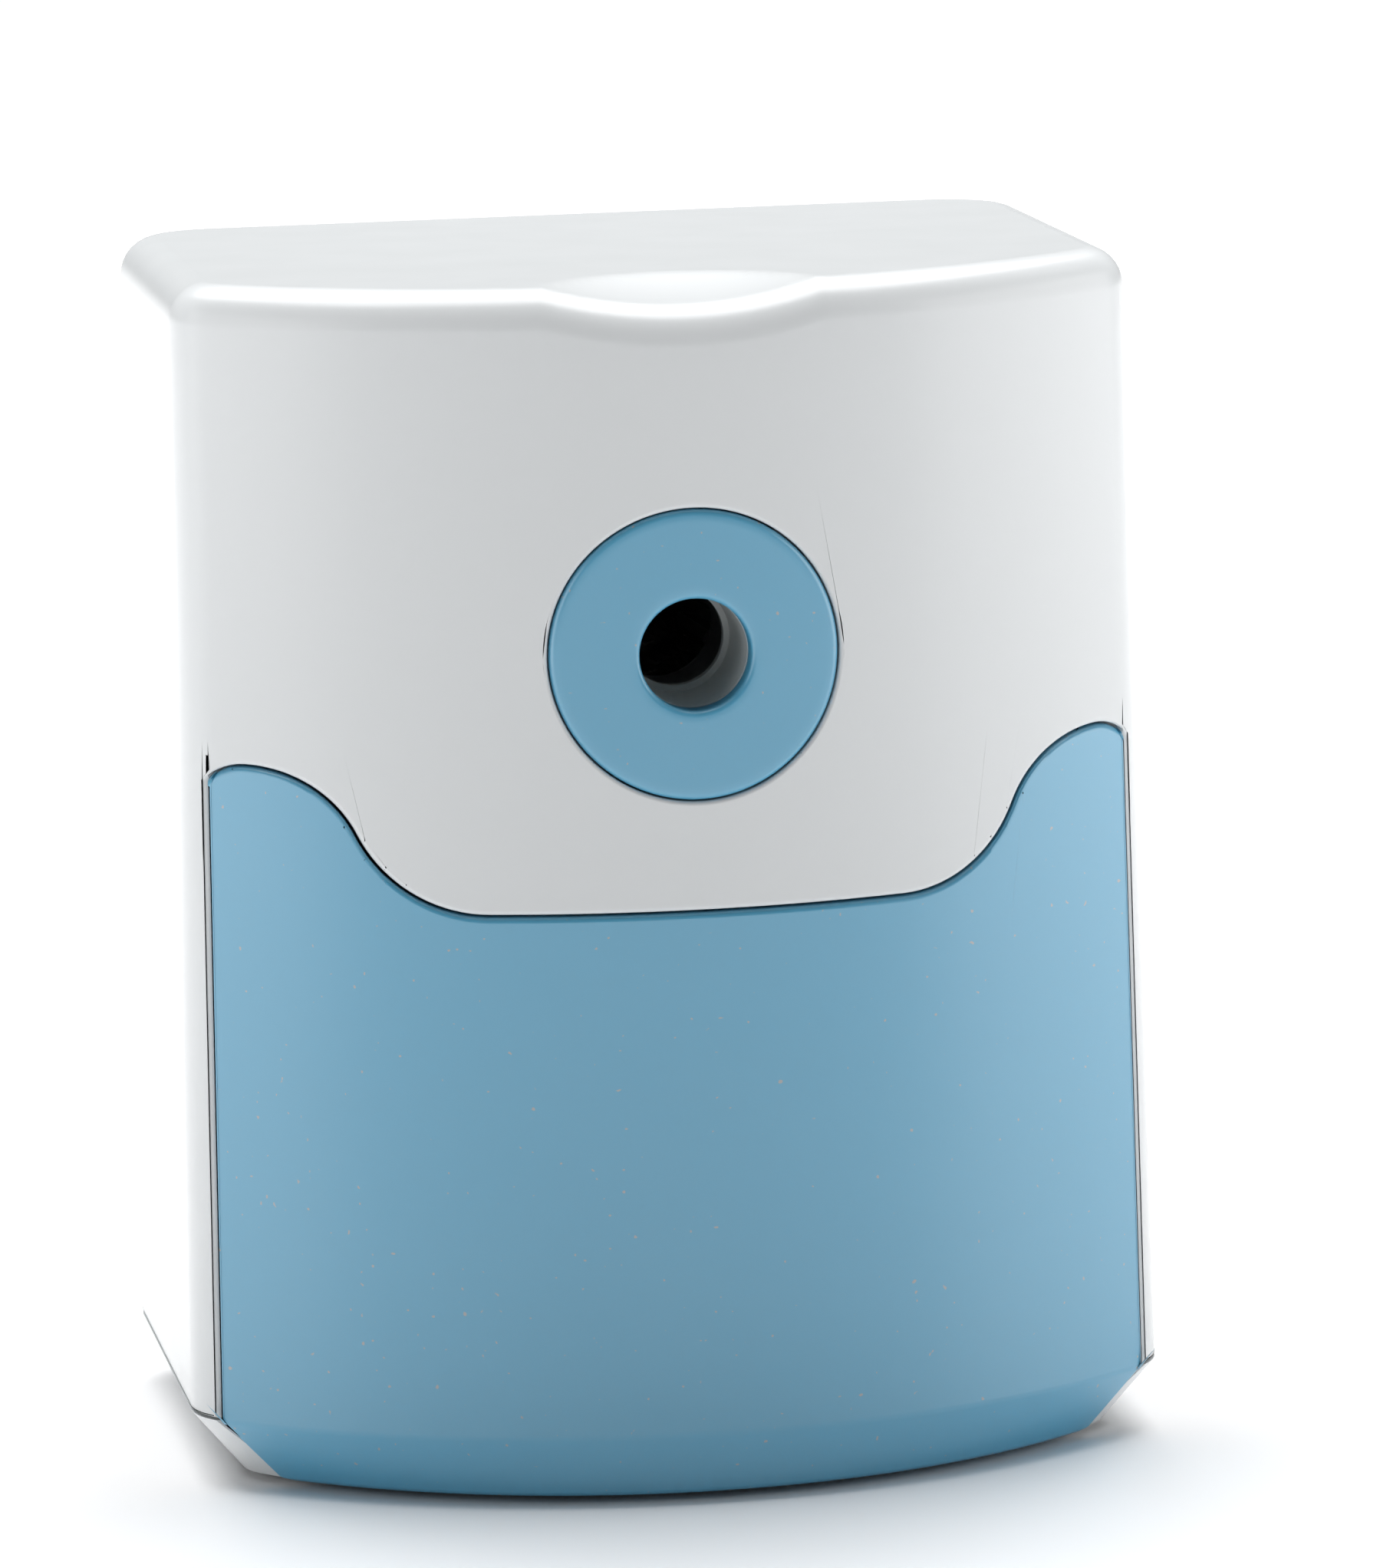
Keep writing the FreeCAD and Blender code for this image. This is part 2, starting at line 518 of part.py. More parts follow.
def rear_bearing():
    start, step = f"{BACK} - sizes.rear_inside", f"{FLANGE_END} - sizes.rear_flange_thick"
    bore = "sizes.shaft_radius + sizes.run_gap"
    return turned("rear_bearing", [(start, bore), (FLANGE_END, bore), (FLANGE_END, "sizes.rear_flange"),
                                   (step, "sizes.rear_flange"), (step, "sizes.rear_sleeve"),
                                   (start, "sizes.rear_sleeve")], MAIN_AXIS)


# ---------------------------------------------------------------- conical gears and the cutter
PRESSURE = math.radians(size("pressure_angle"))
FLANK_STEPS, TWIST_STEPS, TOOTH_LEAD = 5, 10, 0.35


def pitch_angles():
    """Pitch-cone angles of pinion and internal gear: they differ by the cutter's tilt."""
    tilt, ratio = math.radians(size("cone_angle")), size("ring_teeth") / size("pinion_teeth")
    pinion = math.atan(math.sin(tilt) / (ratio - math.cos(tilt)))
    return pinion, pinion + tilt


def tooth_ring(teeth, pitch, outside, inside, share):
    """Involute outline as (radius, angle) pairs: `outside` and `inside` reach from the pitch circle."""
    base = pitch * math.cos(PRESSURE)
    half_tooth = share * math.pi / teeth

    def involute(angle):
        return math.tan(angle) - angle

    outline = []
    for tooth in range(teeth):
        middle = 2 * math.pi * tooth / teeth - math.pi / 2
        flank = []
        for step in range(FLANK_STEPS):
            radius = pitch - inside + (outside + inside) * step / (FLANK_STEPS - 1)
            angle = math.acos(min(base / radius, 1.0))
            flank.append((radius, half_tooth + involute(PRESSURE) - involute(angle)))
        outline += [(r, middle - a) for r, a in flank]
        outline += [(r, middle + a) for r, a in reversed(flank)]
    return outline


def cone_gear(teeth, pitch_angle, outside, inside, share, near, far):
    """Toothed cone between two distances from the apex, along local X."""
    module = 2 * math.tan(pitch_angle) / teeth
    outline = tooth_ring(teeth, math.tan(pitch_angle), outside * module, inside * module, share)
    wires = []
    for distance in (near, far):
        points = [Vector(1, r * math.cos(a), r * math.sin(a)) * distance for r, a in outline]
        wires.append(Part.makePolygon(points + points[:1]))
    return Part.makeLoft(wires, True, True)


def solid_feature(name, shape, place):
    feature = doc.addObject("Part::Feature", name)
    feature.Shape = shape
    feature.Placement = place
    return feature


def axle_bore():
    return Part.makeCylinder(size("axle_radius") + size("run_gap"), size("axle_far"), Vector(), ALONG)


def cutter_pinion():
    angle = pitch_angles()[0]
    teeth = cone_gear(int(size("pinion_teeth")), angle, size("addendum"), size("dedendum"),
                      size("tooth_share"), size("pinion_near"), size("pinion_far"))
    start = size("pinion_far") - 0.5
    collar = Part.makeCylinder(size("pinion_collar"), size("cutter_near") - start, ALONG * start, ALONG)
    return solid_feature("cutter_pinion", teeth.fuse(collar).cut(axle_bore()).removeSplitter(), CUTTER_AXIS)


def helical_cutter():
    """Burr with sharp helical teeth: a star outline that twists from end to end."""
    near, far = size("cutter_near") + size("pilot_gap"), size("cutter_far")
    teeth = int(size("cutter_teeth"))
    wires = []
    for step in range(TWIST_STEPS + 1):
        twist = math.radians(size("cutter_twist")) * step / TWIST_STEPS
        along = near + (far - near) * step / TWIST_STEPS
        points = []
        for tooth in range(teeth):
            for radius, lead in ((size("cutter_radius"), 0.0), (size("cutter_root"), TOOTH_LEAD)):
                turn = 2 * math.pi * (tooth + lead) / teeth + twist
                points.append(Vector(along, radius * math.cos(turn), radius * math.sin(turn)))
        wires.append(Part.makePolygon(points + points[:1]))
    return solid_feature("helical_cutter", Part.makeLoft(wires, True, True).cut(axle_bore()), CUTTER_AXIS)


def ring_gear():
    """Cup with the fixed internal gear at its front and a boss that shows in the rear cover."""
    end, step = f"{BACK} + sizes.boss_proud", f"{COVER_IN} - sizes.touch_gap"
    cup = turned("cup_blank", [
        ("sizes.gear_front", "sizes.cup_bore"), (end, "sizes.cup_bore"), (end, "sizes.cup_boss"),
        (step, "sizes.cup_boss"), (step, "sizes.cup_flange"), ("sizes.flange_front", "sizes.cup_flange"),
        ("sizes.flange_front", "sizes.cup_radius"), ("sizes.gear_front", "sizes.cup_radius")], MAIN_AXIS)
    spaces = cone_gear(int(size("ring_teeth")), pitch_angles()[1], size("dedendum"), size("addendum"),
                       1 - size("tooth_share"), size("space_near"), size("space_far"))
    room = rod("cup_room", "sizes.cup_inner", ("sizes.gear_back", "sizes.cup_floor"))
    seat = rod("cup_seat", "sizes.cup_seat", ("0", FAR))
    holes = ring_screw_tools("cup_clear", CLEAR, "0", FAR)
    return cut("ring_gear", cup, solid_feature("gear_space", spaces, from_apex(0)), room, seat, *holes)


def ring_screw_tools(name, radius, low, high):
    tools = []
    for i in range(3):
        turn = 90 + 120 * i
        tools.append(rod(f"{name}_{i}", radius, (low, high), f"sizes.cup_screw_circle * cos({turn})",
                         f"{AXIS} + sizes.cup_screw_circle * sin({turn})"))
    return tools


def ring_gear_screws():
    heads = ring_screw_tools("cup_head", "sizes.screw_head - sizes.touch_gap",
                             "sizes.flange_front - sizes.head_thick", "sizes.flange_front")
    shanks = ring_screw_tools("cup_shank", "sizes.screw_radius", "sizes.flange_front", f"{BACK} - 0.4")
    return group("ring_gear_screws", [screw("cup_screw", i, p) for i, p in enumerate(zip(heads, shanks))])


# ---------------------------------------------------------------- carrier, crank and knob
def inclined_rod(name, radius, near, far):
    obj = doc.addObject("Part::Cylinder", name)
    turn = CUTTER_AXIS.Rotation.multiply(Rotation(Vector(0, 1, 0), 90))
    start = APEX + CUTTER_AXIS.Rotation.multVec(Vector(value(near), 0, 0))
    obj.Placement = Placement(start, turn)
    bind(obj, Radius=radius, Height=f"({far}) - ({near})")
    return obj


def cutter_carrier():
    front = ("-sizes.cheek_front - sizes.cheek_thick", "-sizes.cheek_front")
    nose = rod("nose", "sizes.nose_outer", ("sizes.nose_front", front[1]))
    disc = rod("front_disc", "sizes.spine_outer", front)
    arm = box("cheek_arm", ("-sizes.eye_radius", "sizes.eye_radius"), front, (EYE_Z, AXIS))
    eye = rod("cheek_eye", "sizes.eye_radius", front, "0", EYE_Z)
    tube = rod("spine_tube", "sizes.spine_outer", ("-sizes.cheek_front - 0.4", "sizes.rear_cheek + 0.5"))
    tube_bore = rod("spine_bore", "sizes.spine_inner", ("-11", "sizes.rear_cheek"))
    lower = box("below_spine", (f"-{FAR}", FAR), ("-sizes.cheek_front", "sizes.rear_cheek"),
                ("0", f"{AXIS} + sizes.spine_low"))
    spine = cut("spine", tube, tube_bore, lower)
    rear = rod("rear_disc", "sizes.spine_outer", ("sizes.rear_cheek",
                                                  "sizes.rear_cheek + sizes.cheek_thick"))
    hub = rod("rear_hub", "sizes.hub_radius", ("sizes.rear_cheek + 1", "sizes.hub_end"))
    bore = rod("pencil_bore", "sizes.nose_inner", (f"-{FAR}", "-11"))
    socket = rod("shaft_socket", "sizes.shaft_radius + sizes.slip", ("sizes.socket_start", FAR))
    axle = inclined_rod("axle_seat", "sizes.axle_radius + sizes.slip", "sizes.axle_near - sizes.run_gap", FAR)
    body = fuse("carrier_body", nose, disc, arm, eye, spine, rear, hub)
    return cut("cutter_carrier", body, bore, socket, axle, pin_bore("carrier_cross"))


EYE_Z = f"({AXIS} - sizes.eye_drop)"


def pin_bore(name):
    return post(name, "sizes.pin_radius + sizes.slip", ("0", "sizes.top_height"), "0", "sizes.pin_y")


def cutter_axle():
    near, far = "sizes.axle_near", "sizes.axle_far"
    return turned("cutter_axle", [(near, "0"), (far, "0"), (far, "sizes.axle_radius"),
                                  (near, "sizes.axle_radius")], CUTTER_AXIS)


def axle_clip():
    profile = sleeve("sizes.axle_radius + sizes.slip", "sizes.clip_radius", "sizes.clip_near", "sizes.clip_far")
    return turned("axle_clip", profile, CUTTER_AXIS)


def crank_shaft():
    shaft = rod("shaft_rod", "sizes.shaft_radius", ("sizes.shaft_start", "sizes.shaft_end"))
    hole = rod("shaft_tap", "sizes.shaft_tap", ("sizes.shaft_end - sizes.tap_depth", FAR))
    return cut("crank_shaft", shaft, hole, pin_bore("shaft_cross"))


def drive_pin():
    return post("drive_pin", "sizes.pin_radius", (f"{AXIS} - sizes.hub_radius", f"{AXIS} + sizes.hub_radius"),
                "0", "sizes.pin_y")


def thrust_washer():
    start = f"{FLANGE_END} + sizes.run_gap"
    profile = sleeve("sizes.shaft_radius + sizes.touch_gap", "sizes.washer_radius", start,
                     f"{start} + sizes.washer_thick")
    return turned("thrust_washer", profile, MAIN_AXIS)


KNOB_Z = f"({AXIS} - sizes.crank_radius)"


def crank_arm():
    low = "sizes.crank_start + sizes.arm_step"
    high = f"{low} + sizes.crank_thick"
    hub = rod("crank_boss", "sizes.crank_hub", ("sizes.crank_start", "sizes.crank_end"))
    bar = box("crank_bar", ("-sizes.arm_half", "sizes.arm_half"), (low, high), (KNOB_Z, AXIS))
    eye = rod("crank_eye", "sizes.arm_eye", (low, high), "0", KNOB_Z)
    holes = [rod("crank_bore", "sizes.shaft_radius + sizes.slip", ("0", FAR)),
             rod("knob_pin_bore", "sizes.knob_pin + sizes.slip", ("0", FAR), "0", KNOB_Z)]
    return cut("crank_arm", fuse("crank_body", hub, bar, eye), *holes)


def crank_screw():
    top = "sizes.crank_end + sizes.crank_screw_thick"
    head = rod("crank_screw_head", "sizes.crank_screw_head", ("sizes.crank_end", top))
    shank = rod("crank_screw_shank", "sizes.crank_screw_shank", ("sizes.shaft_end - 7", "sizes.crank_end"))
    slot = box("crank_screw_slot", ("-sizes.slot_half", "sizes.slot_half"),
               (f"{top} - sizes.slot_depth", FAR), (f"{AXIS} - 5", f"{AXIS} + 5"))
    return cut("crank_screw", fuse("crank_screw_body", head, shank), slot)


def knob_place():
    return Placement(Vector(0, 0, value(KNOB_Z)), MAIN_AXIS.Rotation)


def knob_pin():
    start, lip, end = "sizes.knob_pin_start", "sizes.knob_pin_lip", "sizes.knob_pin_end"
    return turned("knob_pin", [(start, "0"), (end, "0"), (end, "sizes.knob_pin_head"),
                               (lip, "sizes.knob_pin_head"), (lip, "sizes.knob_pin"), (start, "sizes.knob_pin")],
                  knob_place())


def crank_knob():
    start, end, bore = "sizes.knob_start", "sizes.knob_end", "sizes.knob_pin + sizes.run_gap"
    return turned("crank_knob", [
        (start, bore), ("sizes.knob_floor", bore), ("sizes.knob_floor", "sizes.knob_well"),
        (end, "sizes.knob_well"), (end, "sizes.knob_radius - sizes.knob_edge", "-sizes.knob_edge"),
        (f"{end} - sizes.knob_edge", "sizes.knob_radius"),
        (f"{start} + sizes.knob_taper", "sizes.knob_radius - 1.1"), (start, "sizes.knob_radius - 1.6")],
        knob_place())


def knob_cap():
    start, end, edge = "sizes.cap_start", "sizes.cap_end", "sizes.cap_radius"
    return turned("knob_cap", [(start, "0"), (end, "0"), (f"{end} - 0.3", "3"), (f"{end} - 1", edge),
                               (start, edge)], knob_place())


# ---------------------------------------------------------------- drawer
def tray_screw_tools(name, radius, low, high):
    return [rod(f"{name}_{i}", radius, (low, high), f"{side} * sizes.boss_x", "sizes.boss_z")
            for i, side in enumerate(SIDES)]


def drawer_front():
    skin = common("front_skin", cut("front_shell", casing, drawer_hollow), drawer_region)
    back = "-sizes.tray_front - sizes.touch_gap"
    top = "sizes.tray_high - sizes.shelf_drop"
    shelf = box("front_shelf", ("-sizes.shelf_half", "sizes.shelf_half"), (f"-{FAR}", back),
                (f"{top} - sizes.shelf_thick", top))
    bosses = tray_screw_tools("front_boss", "sizes.boss_radius", f"-{FAR}", back)
    inner = common("front_inner", fuse("front_ribs", shelf, *bosses), casing)
    pilots = tray_screw_tools("front_pilot", PILOT, "sizes.boss_screw_front - 0.5", "0")
    return cut("drawer_front", fuse("front_body", skin, inner), *pilots)


def drawer_tray():
    x, w = "sizes.tray_half_width", "sizes.tray_wall"
    outer = box("tray_outer", (f"-{x}", x), ("-sizes.tray_front", "sizes.tray_back"),
                ("sizes.tray_low", "sizes.tray_high"))
    inner = box("tray_inner", (f"{w} - {x}", f"{x} - {w}"),
                (f"{w} - sizes.tray_front", f"sizes.tray_back - {w}"),
                (f"sizes.tray_low + {w}", FAR))
    holes = tray_screw_tools("tray_clear", CLEAR, "-20", "-10")
    return cut("drawer_tray", outer, inner, *holes)


def tray_screws():
    heads = tray_screw_tools("tray_head", "sizes.screw_head", f"sizes.tray_wall - sizes.tray_front",
                             "sizes.tray_wall + sizes.head_thick - sizes.tray_front")
    shanks = tray_screw_tools("tray_shank", "sizes.screw_radius", "sizes.boss_screw_front",
                              "sizes.tray_wall - sizes.tray_front")
    return group("tray_screws", [screw("tray_screw", i, p) for i, p in enumerate(zip(heads, shanks))])


PIECES = [housing_shell, rear_cover, cover_screws, base_plate, base_screws, rubber_mat, entry_ring,
          pencil_guide, bearing_wall, wall_screws, front_bearing, ring_gear, ring_gear_screws, rear_bearing,
          cutter_carrier, crank_shaft, drive_pin, cutter_axle, axle_clip, thrust_washer, crank_arm, crank_screw,
          knob_pin, helical_cutter, cutter_pinion, crank_knob, knob_cap, drawer_front, drawer_tray, tray_screws]
nodes = {}
for piece in PIECES:
    nodes[piece.__name__] = piece()
doc.recompute()

# ---------------------------------------------------------------- check and export
for obj in doc.Objects:
    if "Invalid" in obj.State or "Error" in obj.State:
        raise SystemExit(f"{obj.Name}: {obj.State}")
os.makedirs("parts", exist_ok=True)
for name, obj in nodes.items():
    obj.Label = name
    shape = obj.Shape
    if shape.isNull() or not shape.isValid() or not shape.Solids:
        raise SystemExit(f"{name}: no valid solid")
    shape.exportStep(f"parts/{name}.step")
    print(f"{name:18s} {len(shape.Solids)} solids {shape.Volume:9.1f} mm3")
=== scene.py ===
import math
import bpy
from mathutils import Matrix, Vector


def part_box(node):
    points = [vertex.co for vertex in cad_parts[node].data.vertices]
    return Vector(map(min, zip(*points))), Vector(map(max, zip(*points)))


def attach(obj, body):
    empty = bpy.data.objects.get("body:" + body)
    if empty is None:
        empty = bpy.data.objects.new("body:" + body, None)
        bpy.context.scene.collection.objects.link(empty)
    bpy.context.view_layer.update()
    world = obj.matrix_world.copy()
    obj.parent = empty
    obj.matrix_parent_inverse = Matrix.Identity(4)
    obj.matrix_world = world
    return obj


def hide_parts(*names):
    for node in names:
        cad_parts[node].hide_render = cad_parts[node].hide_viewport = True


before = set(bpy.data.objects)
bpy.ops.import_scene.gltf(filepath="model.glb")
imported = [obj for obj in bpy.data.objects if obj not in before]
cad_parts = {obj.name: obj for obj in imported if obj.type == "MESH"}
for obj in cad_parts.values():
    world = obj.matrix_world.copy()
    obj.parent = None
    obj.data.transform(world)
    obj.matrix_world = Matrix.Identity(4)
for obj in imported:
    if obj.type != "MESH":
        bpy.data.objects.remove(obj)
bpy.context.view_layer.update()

# ---------------------------------------------------------------- studio
# A pale floor that glows further out, as in a light tent, with one large soft light overhead and one at
# each side. The lens is a little above and to the left of the sharpener's front.
MM = 0.001
GLOW_START, GLOW_FULL, GLOW = 80 * MM, 700 * MM, 0.9
LENS_PLACE, LENS_LENGTH = (-0.1089, -0.7047, 0.1656), 211.3

bpy.context.scene.view_settings.view_transform = "Standard"
for thing in bpy.context.selected_objects:
    thing.select_set(False)
bpy.ops.mesh.primitive_plane_add(size=8.0, location=(0, 0, 0))
floor = bpy.context.object
floor.name = floor.data.name = "studio_floor"
floor_paint = bpy.data.materials.new("pale_floor")
floor_paint.use_nodes = True
floor_shader = floor_paint.node_tree.nodes["Principled BSDF"]
floor_shader.inputs["Base Color"].default_value = (0.96, 0.96, 0.965, 1)
floor_shader.inputs["Roughness"].default_value = 0.5
floor_shader.inputs["Emission Color"].default_value = (1, 1, 1, 1)
floor_nodes, floor_links = floor_paint.node_tree.nodes, floor_paint.node_tree.links
from_middle = floor_nodes.new("ShaderNodeVectorMath")
from_middle.operation = "LENGTH"
floor_links.new(floor_nodes.new("ShaderNodeTexCoord").outputs["Object"], from_middle.inputs[0])
glow = floor_nodes.new("ShaderNodeMapRange")
glow.interpolation_type = "SMOOTHSTEP"
glow.inputs["From Min"].default_value = GLOW_START
glow.inputs["From Max"].default_value = GLOW_FULL
glow.inputs["To Max"].default_value = GLOW
floor_links.new(from_middle.outputs["Value"], glow.inputs["Value"])
floor_links.new(glow.outputs["Result"], floor_shader.inputs["Emission Strength"])
floor.data.materials.append(floor_paint)

world = bpy.data.worlds.new("light_tent")
world.use_nodes = True
world.node_tree.nodes["Background"].inputs["Color"].default_value = (1.0, 1.0, 1.0, 1)
world.node_tree.nodes["Background"].inputs["Strength"].default_value = 0.06
bpy.context.scene.world = world


def soft_light(name, place, aim, width, depth, watts):
    """Rectangular lamp that faces its aim."""
    lamp = bpy.data.lights.new(name, "AREA")
    lamp.shape = "RECTANGLE"
    lamp.size, lamp.size_y, lamp.energy = width, depth, watts
    holder = bpy.data.objects.new(name, lamp)
    holder.location = place
    holder.rotation_euler = (Vector(place) - Vector(aim)).to_track_quat("Z", "Y").to_euler()
    bpy.context.scene.collection.objects.link(holder)


MIDDLE = (0, 0, 0.05)
soft_light("overhead_light", (0, 0.25, 0.80), MIDDLE, 1.00, 0.80, 14.0)
soft_light("left_light", (-0.74, -0.12, 0.22), MIDDLE, 0.75, 0.45, 1.8)
soft_light("right_light", (0.73, -0.15, 0.22), MIDDLE, 0.75, 0.45, 2.4)

azimuth, elevation, roll = math.radians(-9.12), math.radians(9.16), math.radians(-1.42)
back = Vector((math.sin(azimuth) * math.cos(elevation), -math.cos(azimuth) * math.cos(elevation),
               math.sin(elevation)))
turn = back.to_track_quat("Z", "Y").to_matrix() @ Matrix.Rotation(roll, 3, "Z")
lens = bpy.data.cameras.new("camera")
lens.sensor_width = 36.0
lens.lens = LENS_LENGTH
lens.clip_start, lens.clip_end = 0.05, 20
camera = bpy.data.objects.new("camera", lens)
camera.matrix_world = Matrix.Translation(LENS_PLACE) @ turn.to_4x4()
bpy.context.scene.collection.objects.link(camera)
bpy.context.scene.camera = camera

# ---------------------------------------------------------------- housing shell
# White ABS moulding with a bowed front, round corners, a glossy top and a thumb dip over the pencil hole.
# Its front edge is cut to the drawer's wave, and it is open at the back for a cover and below for the base.
HALF_WIDTH, HALF_DEPTH, TOP, CREASE, FOOT = 38 * MM, 31 * MM, 93 * MM, 5.5 * MM, 0.6 * MM
FRONT_RADIUS, FRONT_CORNER, BACK_CORNER, TOP_ROUND = 53 * MM, 7 * MM, 8 * MM, 3 * MM
TOP_NARROW, FOOT_NARROW, FOOT_SHALLOW, FOOT_MIDDLE = 36.9 / 38, 34 / 38, 58.5 / 62, -4.33 * MM
SHELL_WALL, ROOF = 2 * MM, 2.6 * MM
AXIS_HEIGHT = 65.3 * MM
SEAM_DEPTH, SEAM_GAP = 14.4 * MM, 0.2 * MM
RING_HOLE, RING_BACK = 11.12 * MM, 2.4 * MM
DIP_RADIUS, DIP_DEPTH, DIP_GRID = 10.8 * MM, 1.5 * MM, 0.8 * MM
CREASE_ROUND = 0.3 * MM
FAR = 60 * MM
ROWS = [level * MM for level in (12, 28, 42, 58.4, 68, 78, 86)]


def release():
    """Leaves edit mode with nothing selected."""
    if bpy.context.object and bpy.context.object.mode == "EDIT":
        bpy.ops.object.mode_set(mode="OBJECT")
    for obj in bpy.context.selected_objects:
        obj.select_set(False)


def hold(piece):
    """Makes a piece the only selected and active one."""
    release()
    piece.select_set(True)
    bpy.context.view_layer.objects.active = piece


def choose(piece, kind, test):
    """Opens the piece in edit mode with only the points, edges or faces that pass the test selected."""
    hold(piece)
    bpy.ops.object.mode_set(mode="EDIT")
    bpy.ops.mesh.select_mode(type=kind)
    bpy.ops.mesh.select_all(action="DESELECT")
    bpy.ops.object.mode_set(mode="OBJECT")
    mesh = piece.data
    if kind == "VERT":
        for point in mesh.vertices:
            point.select = test(point.co)
    elif kind == "EDGE":
        for edge in mesh.edges:
            edge.select = all(test(mesh.vertices[i].co) for i in edge.vertices)
    else:
        for face in mesh.polygons:
            face.select = test(face.center, face.normal)
    bpy.ops.object.mode_set(mode="EDIT")


def smooth(piece, degrees):
    """Smooths the faces, apart from edges sharper than the angle."""
    hold(piece)
    bpy.ops.object.shade_smooth_by_angle(angle=math.radians(degrees))


def modify(piece, kind, **settings):
    """Adds a modifier and applies it."""
    hold(piece)
    modifier = piece.modifiers.new(kind.lower(), kind)
    for key, setting in settings.items():
        setattr(modifier, key, setting)
    bpy.ops.object.modifier_apply(modifier=modifier.name)


def carve(piece, *tools, operation="DIFFERENCE"):
    """Cuts the tools out of a piece, or joins or crosses it with them, and throws them away."""
    for tool in tools:
        modify(piece, "BOOLEAN", object=tool, operation=operation, solver="EXACT")
        bpy.data.objects.remove(tool)


def drawn_line(name, start, moves):
    """Open line from a point. A move is a straight run, or an arc of (centre, axis, degrees, steps)."""
    release()
    bpy.ops.mesh.primitive_plane_add(size=MM, location=start)
    piece = bpy.context.object
    piece.name = name
    bpy.ops.object.transform_apply(location=True, rotation=True, scale=True)
    bpy.ops.object.mode_set(mode="EDIT")
    bpy.ops.mesh.select_mode(type="VERT")
    bpy.ops.mesh.select_all(action="SELECT")
    bpy.ops.mesh.merge(type="CENTER")
    for move in moves:
        if len(move) == 3:
            bpy.ops.mesh.extrude_region_move(TRANSFORM_OT_translate={"value": move})
        else:
            centre, axis, degrees, steps = move
            bpy.ops.mesh.spin(steps=steps, angle=-math.radians(degrees), center=centre, axis=axis)
    bpy.ops.object.mode_set(mode="OBJECT")
    return piece


UP, INTO, ACROSS = (0, 0, 1), (0, 1, 0), (1, 0, 0)


def filled(piece, thickness):
    """Mirrors a half outline, fills it and gives it thickness."""
    modify(piece, "MIRROR", use_clip=True, merge_threshold=0.01 * MM)
    choose(piece, "VERT", lambda co: True)
    bpy.ops.mesh.edge_face_add()
    bpy.ops.mesh.extrude_region_move(TRANSFORM_OT_translate={"value": thickness})
    bpy.ops.mesh.select_all(action="SELECT")
    bpy.ops.mesh.normals_make_consistent(inside=False)
    release()
    return piece


def casing_block(name, inset, roof, rounded=False, below=0.0):
    """Solid with the casing's outside shape, or the hollow inside it when it is inset. A rounded one has the
    soft crease, the round top edge and the thumb dip."""
    half, deep = HALF_WIDTH - inset, HALF_DEPTH - inset
    radius, corner, rear = FRONT_RADIUS - inset, FRONT_CORNER - inset, BACK_CORNER - inset
    bow = math.asin((half - corner) / (radius - corner))
    bow_centre = FRONT_RADIUS - HALF_DEPTH
    corner_y = bow_centre - (radius - corner) * math.cos(bow)
    block = drawn_line(name, (0, -deep, CREASE), [
        ((0, bow_centre, 0), UP, math.degrees(bow), 24),
        ((half - corner, corner_y, 0), UP, 90 - math.degrees(bow), 10),
        (0, deep - rear - corner_y, 0),
        ((half - rear, deep - rear, 0), UP, 90, 14),
        (rear - half, 0, 0)])
    filled(block, (0, 0, TOP - roof - CREASE))
    choose(block, "VERT", lambda co: co.z > CREASE + MM)
    bpy.ops.transform.resize(value=(TOP_NARROW, 1, 1), center_override=(0, 0, 0))
    choose(block, "FACE", lambda co, n: n.z < -0.9)
    bpy.ops.mesh.extrude_region_move(TRANSFORM_OT_translate={"value": (0, 0, FOOT - CREASE)})
    bpy.ops.transform.resize(value=(FOOT_NARROW, FOOT_SHALLOW, 1), center_override=(0, FOOT_MIDDLE, 0))
    if below:
        bpy.ops.mesh.extrude_region_move(TRANSFORM_OT_translate={"value": (0, 0, -below)})
    if rounded:
        choose(block, "EDGE", lambda co: abs(co.z - CREASE) < 0.01 * MM)
        bpy.ops.mesh.bevel(offset=CREASE_ROUND, segments=3, profile=0.5, affect="EDGES")
        choose(block, "EDGE", lambda co: co.z > TOP - 0.1 * MM)
        bpy.ops.mesh.bevel(offset=TOP_ROUND, offset_type="OFFSET", segments=8, profile=0.5, affect="EDGES")
        for level in ROWS:
            bpy.ops.mesh.select_all(action="SELECT")
            bpy.ops.mesh.bisect(plane_co=(0, 0, level), plane_no=UP)
        for column in range(-16, 17):
            choose(block, "FACE", lambda co, n: co.z > ROWS[-1])
            bpy.ops.mesh.bisect(plane_co=(column * DIP_GRID, 0, 0), plane_no=ACROSS)
        for row in range(1, 17):
            choose(block, "FACE", lambda co, n: co.z > TOP - 0.001 * MM)
            bpy.ops.mesh.bisect(plane_co=(0, TOP_ROUND - HALF_DEPTH + row * DIP_GRID, 0), plane_no=INTO)
        choose(block, "VERT", lambda co: abs(co.x) < 0.1 * MM and co.y < MM - HALF_DEPTH
               and co.z > TOP - TOP_ROUND - 0.1 * MM)
        bpy.ops.transform.translate(value=(0, 0, -DIP_DEPTH), use_proportional_edit=True,
                                    proportional_edit_falloff="INVERSE_SQUARE", proportional_size=DIP_RADIUS)
    release()
    return block


